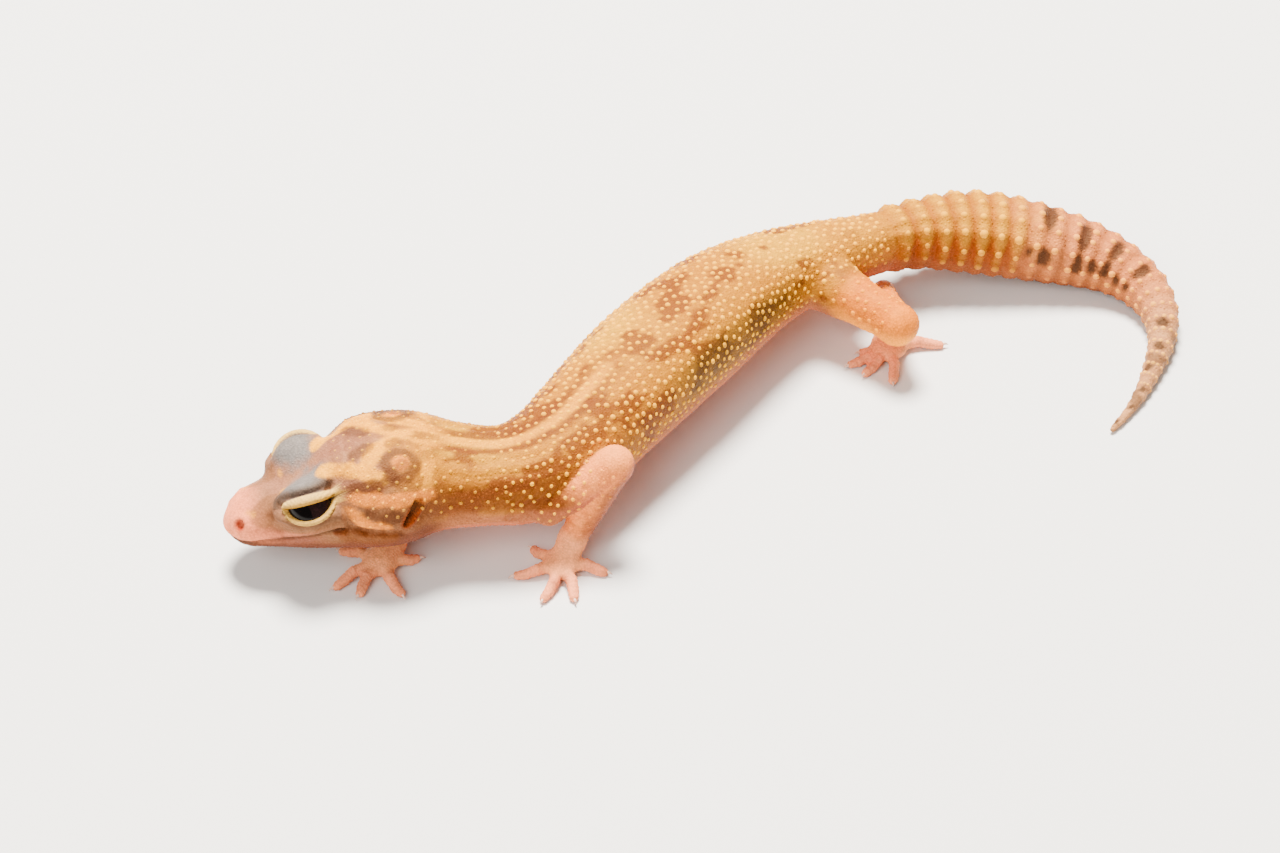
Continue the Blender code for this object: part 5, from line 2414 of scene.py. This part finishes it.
# ---- eyes and claws ----
@dataclass
class Eyeball:
    """One wet globe with a bulge over the iris."""

    name: str
    socket: EyeSocket
    segments: int = 48
    rings: int = 32
    cornea: float = 0.1
    cornea_reach: float = 0.75

    def build(self) -> Object:
        """Makes the globe.

        Returns:
            The object, in millimetres, with its gaze attribute and UV map.
        """
        build = bmesh.new()
        bmesh.ops.create_uvsphere(build, u_segments=self.segments, v_segments=self.rings, radius=1.0,
                                  calc_uvs=True)
        mesh = finished(build, self.name)
        gaze = unit(read_points(mesh))
        swell = self.cornea * ramp(gaze[:, 2], self.cornea_reach, 1.0)
        write_points(mesh, self.socket.world(gaze * (self.socket.radius + swell)[:, None]))
        if np.linalg.det(self.socket.axes) < 0:
            mesh.flip_normals()
        mesh.shade_smooth()
        store(mesh, "gaze", gaze, "FLOAT_VECTOR")
        flat = gaze[read(mesh.loops, "vertex_index", 1)]
        spread = np.degrees(np.arccos(np.clip(flat[:, 2], -1, 1)))[:, None] / 180
        store_sheet(mesh, 0.5 + 0.49 * spread * unit(flat[:, :2] + 1e-6))
        return new_object(self.name, mesh)


@dataclass
class Claws:
    """The small hooked claws at the ends of the toes."""

    form: Form
    start: float = 0.30
    reaches: tuple[float, ...] = (0.0, 0.35, 0.7, 1.0)
    radii: tuple[float, ...] = (0.24, 0.19, 0.12, 0.03)
    heights: tuple[float, ...] = (0.04, 0.16, 0.12, -0.08)
    length: float = 0.85
    sides: int = 10

    def build(self) -> Object:
        """Makes all claws as one piece.

        Returns:
            The object, in millimetres.
        """
        build = bmesh.new()
        share = []
        for leg in self.form.limbs:
            for (spread, _), line in zip(leg.toes, leg.toe_lines):
                ahead = compass(leg.aim + spread * leg.side)
                across = np.cross(ahead, UP)
                rings = []
                for reach, radius, height in zip(self.reaches, self.radii, self.heights):
                    middle = line[-1] + ahead * (self.start + reach * self.length) + UP * height
                    middle[2] = max(middle[2], radius + 0.02)
                    rings.append(middle + circle(self.sides, across * 0.8, UP) * radius)
                    share += [reach] * self.sides
                add_loft(build, rings)
        mesh = finished(build, "claws", outwards=True)
        mesh.shade_smooth()
        store(mesh, "towards_tip", np.array(share), "FLOAT")
        return new_object("claws", mesh)


# ---- floor, light and camera ----
@dataclass(frozen=True)
class Lamp:
    """A soft round lamp: its bearing and height in degrees, distance and width in metres, and power."""

    name: str
    azimuth: float
    elevation: float
    distance: float
    size: float
    power: float
    tone: Colour
    mirrored: bool = True


@dataclass
class Studio:
    """A pale floor, soft light and the camera."""

    placement: Placement
    azimuth: float = 46.0
    elevation: float = 42.0
    distance: float = 0.407
    lens: float = 90.0
    floor_size: float = 3.0
    floor_tone: Colour = (0.80, 0.79, 0.77)
    floor_roughness: float = 0.8
    world_tone: Colour = (1.0, 0.98, 0.95)
    world_strength: float = 0.4
    lamps: tuple[Lamp, ...] = (
        Lamp("key", 236.0, 70.0, 0.9, 0.34, 47.0, (1.0, 0.95, 0.87)),
        Lamp("fill", 10.0, 40.0, 1.1, 0.9, 13.0, (1.0, 0.97, 0.94), mirrored=False),
    )

    def stand(self, name: str, data: bpy.types.ID, azimuth: float, elevation: float,
              distance: float) -> Object:
        """Stands a lamp or the camera round the origin, aimed at it.

        Args:
            name: Its name.
            data: The lamp or the camera.
            azimuth: Degrees; 0 is ahead of the animal and 90 on its left.
            elevation: Degrees above the floor.
            distance: How far away, in metres.

        Returns:
            The object.
        """
        turn, lift = np.radians(azimuth), np.radians(elevation)
        aim = Vector((np.sin(turn) * np.cos(lift), -np.cos(turn) * np.cos(lift), np.sin(lift)))
        made = bpy.data.objects.new(name, data)
        made.location = aim * distance
        made.rotation_euler = aim.to_track_quat("Z", "Y").to_euler()
        bpy.context.scene.collection.objects.link(made)
        return made

    def build(self) -> None:
        """Sets up everything that isn't part of the object."""
        build = bmesh.new()
        bmesh.ops.create_grid(build, x_segments=1, y_segments=1, size=self.floor_size / 2)
        floor = new_object("floor", finished(build, "floor"))
        floor.data.materials.append(new_material("studio_floor", {
            "Base Color": (*self.floor_tone, 1.0), "Roughness": self.floor_roughness})[0])
        world = bpy.data.worlds.new("studio")
        world.use_nodes = True
        sky = world.node_tree.nodes["Background"]
        sky.inputs["Color"].default_value = (*self.world_tone, 1.0)
        sky.inputs["Strength"].default_value = self.world_strength
        bpy.context.scene.world = world
        for lamp in self.lamps:
            data = bpy.data.lights.new(lamp.name, "AREA")
            data.shape = "DISK"
            data.size, data.energy, data.color = lamp.size, lamp.power, lamp.tone
            made = self.stand(lamp.name, data, lamp.azimuth, lamp.elevation, lamp.distance)
            made.visible_glossy = lamp.mirrored
        data = bpy.data.cameras.new("camera")
        data.lens, data.sensor_width, data.clip_start = self.lens, 36.0, 0.01
        camera = self.stand("camera", data, self.azimuth, self.elevation, self.distance)
        camera.location += Vector(self.placement.offset)
        bpy.context.scene.camera = camera


# ---- the whole animal ----
@dataclass
class Gecko:
    """Builds every piece of the model in order."""

    backbone: Backbone = field(default_factory=Backbone)

    def __post_init__(self) -> None:
        """Sets out the form and the tools that work on it."""
        self.sockets = (EyeSocket(1, self.backbone), EyeSocket(-1, self.backbone, gaze_up=27.0))
        self.form = Form(self.backbone, self.sockets)
        self.placement = Placement(self.sockets[0])
        self.surveyor = Surveyor(self.form)
        self.sculptor = Sculptor(self.form)
        self.markings = Markings(self.form, self.sculptor)
        self.coat = Coat(self.form, self.markings, self.surveyor, self.placement)
        self.hide_finish = HideFinish("gecko_hide").make()
        self.knob_finish = HideFinish("gecko_knobs", roughness=0.42, grain_height=0.02, shade=0.06).make()

    def declare(self, made: Object, nodes: list[str] | None = None) -> None:
        """Registers a finished piece.

        Args:
            made: The piece.
            nodes: CAD nodes that it stands for.
        """
        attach(made, "root")
        if nodes:
            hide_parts(*nodes)
        log.info("%s: %d faces", made.name, len(made.data.polygons))

    def build_eyes(self) -> None:
        """Makes both eyes."""
        finish = EyeFinish().make()
        for label, socket in zip(("left", "right"), self.sockets):
            eye = Eyeball("eyeball_" + label, socket).build()
            eye.data.materials.append(finish)
            self.placement.apply(eye)
            self.declare(eye, ["eye_" + label])

    def build_claws(self) -> None:
        """Makes the claws."""
        claws = Claws(self.form).build()
        claws.data.materials.append(HornFinish().make())
        self.placement.apply(claws)
        self.declare(claws, [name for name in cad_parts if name.startswith("claw_")])

    def build_skin(self) -> Hide:
        """Makes the skin.

        Returns:
            The skin, still in millimetres.
        """
        skin = Skin(self.form).build()
        survey = self.sculptor.apply(skin.data, self.surveyor)
        hide = Hide(skin, survey, self.markings.tone(survey), Sheet(self.form).lay(skin.data, survey))
        store(skin.data, "tone", hide.tone, "FLOAT_COLOR")
        store_sheet(skin.data, hide.places)
        skin.data.materials.clear()
        skin.data.materials.append(self.hide_finish)
        skin.data.shade_smooth()
        return hide

    def build_knobs(self, hide: Hide) -> None:
        """Makes the knobs and paints shadow into the skin round them.

        Args:
            hide: The skin.
        """
        groups = [(rows.name, rows.slot, rows.paleness, self.coat.body_roots(rows, hide.search))
                  for rows in self.coat.rows]
        legs = [self.coat.leg_roots(leg, hide.search, 20 + index)
                for index, leg in enumerate(self.form.limbs)]
        groups.append(("leg_knobs", "limb_skin", 0.25, tuple(np.concatenate(part) for part in zip(*legs))))
        hide.tone = self.coat.paint_knob_shadows(hide, np.concatenate([found[0] for *_, found in groups]))
        store(hide.made.data, "tone", hide.tone, "FLOAT_COLOR")
        tree = CoatTree("set_knobs", False, KNOB.make(), self.knob_finish, 0.9, 0.2)
        for name, slot, paleness, found in groups:
            made = self.coat.knobs(name, found, hide, paleness)
            tree.run(made, 0.0, 5)
            self.declare(made)
        bpy.data.objects.remove(tree.dome)

    def build_scales(self, hide: Hide) -> None:
        """Makes the small scales between the knobs.

        Args:
            hide: The skin.
        """
        first = np.array([face[0] for face in hide.faces])
        region, chest = hide.survey.region[first], hide.survey.along[first] < 62
        trunk = region == Region.TRUNK.value
        size, cover = self.coat.scale_sizes(hide.survey)
        tree = CoatTree("scatter_scales", True, SCALE.make(), self.knob_finish, 0.85, 0.3)
        for number, (name, slot, chosen, spacing) in enumerate((
            ("head_scales", "head_skin", region == Region.HEAD.value, 0.33),
            ("chest_scales", "trunk_skin", trunk & chest, 0.37),
            ("loin_scales", "trunk_skin", trunk & ~chest, 0.37),
            ("tail_scales", "tail_skin", region == Region.TAIL.value, 0.37),
            ("leg_scales", "limb_skin", region >= Region.LIMB.value, 0.32),
        )):
            made = self.coat.ground(name, hide, chosen, size, cover)
            tree.run(made, spacing * MM, number)
            self.declare(made)
        bpy.data.objects.remove(tree.dome)

    def build(self) -> None:
        """Makes the whole model."""
        self.build_eyes()
        self.build_claws()
        hide = self.build_skin()
        self.build_knobs(hide)
        self.build_scales(hide)
        self.placement.apply(hide.made)
        nodes = [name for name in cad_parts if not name.startswith(("eye_", "claw_"))]
        self.declare(hide.made, nodes)


def main() -> None:
    """Builds the model and the studio, and reports each piece."""
    logging.basicConfig(level=logging.INFO, format="%(name)s: %(message)s")
    gecko = Gecko()
    gecko.build()
    Studio(gecko.placement).build()


if __name__ == "__main__":
    main()
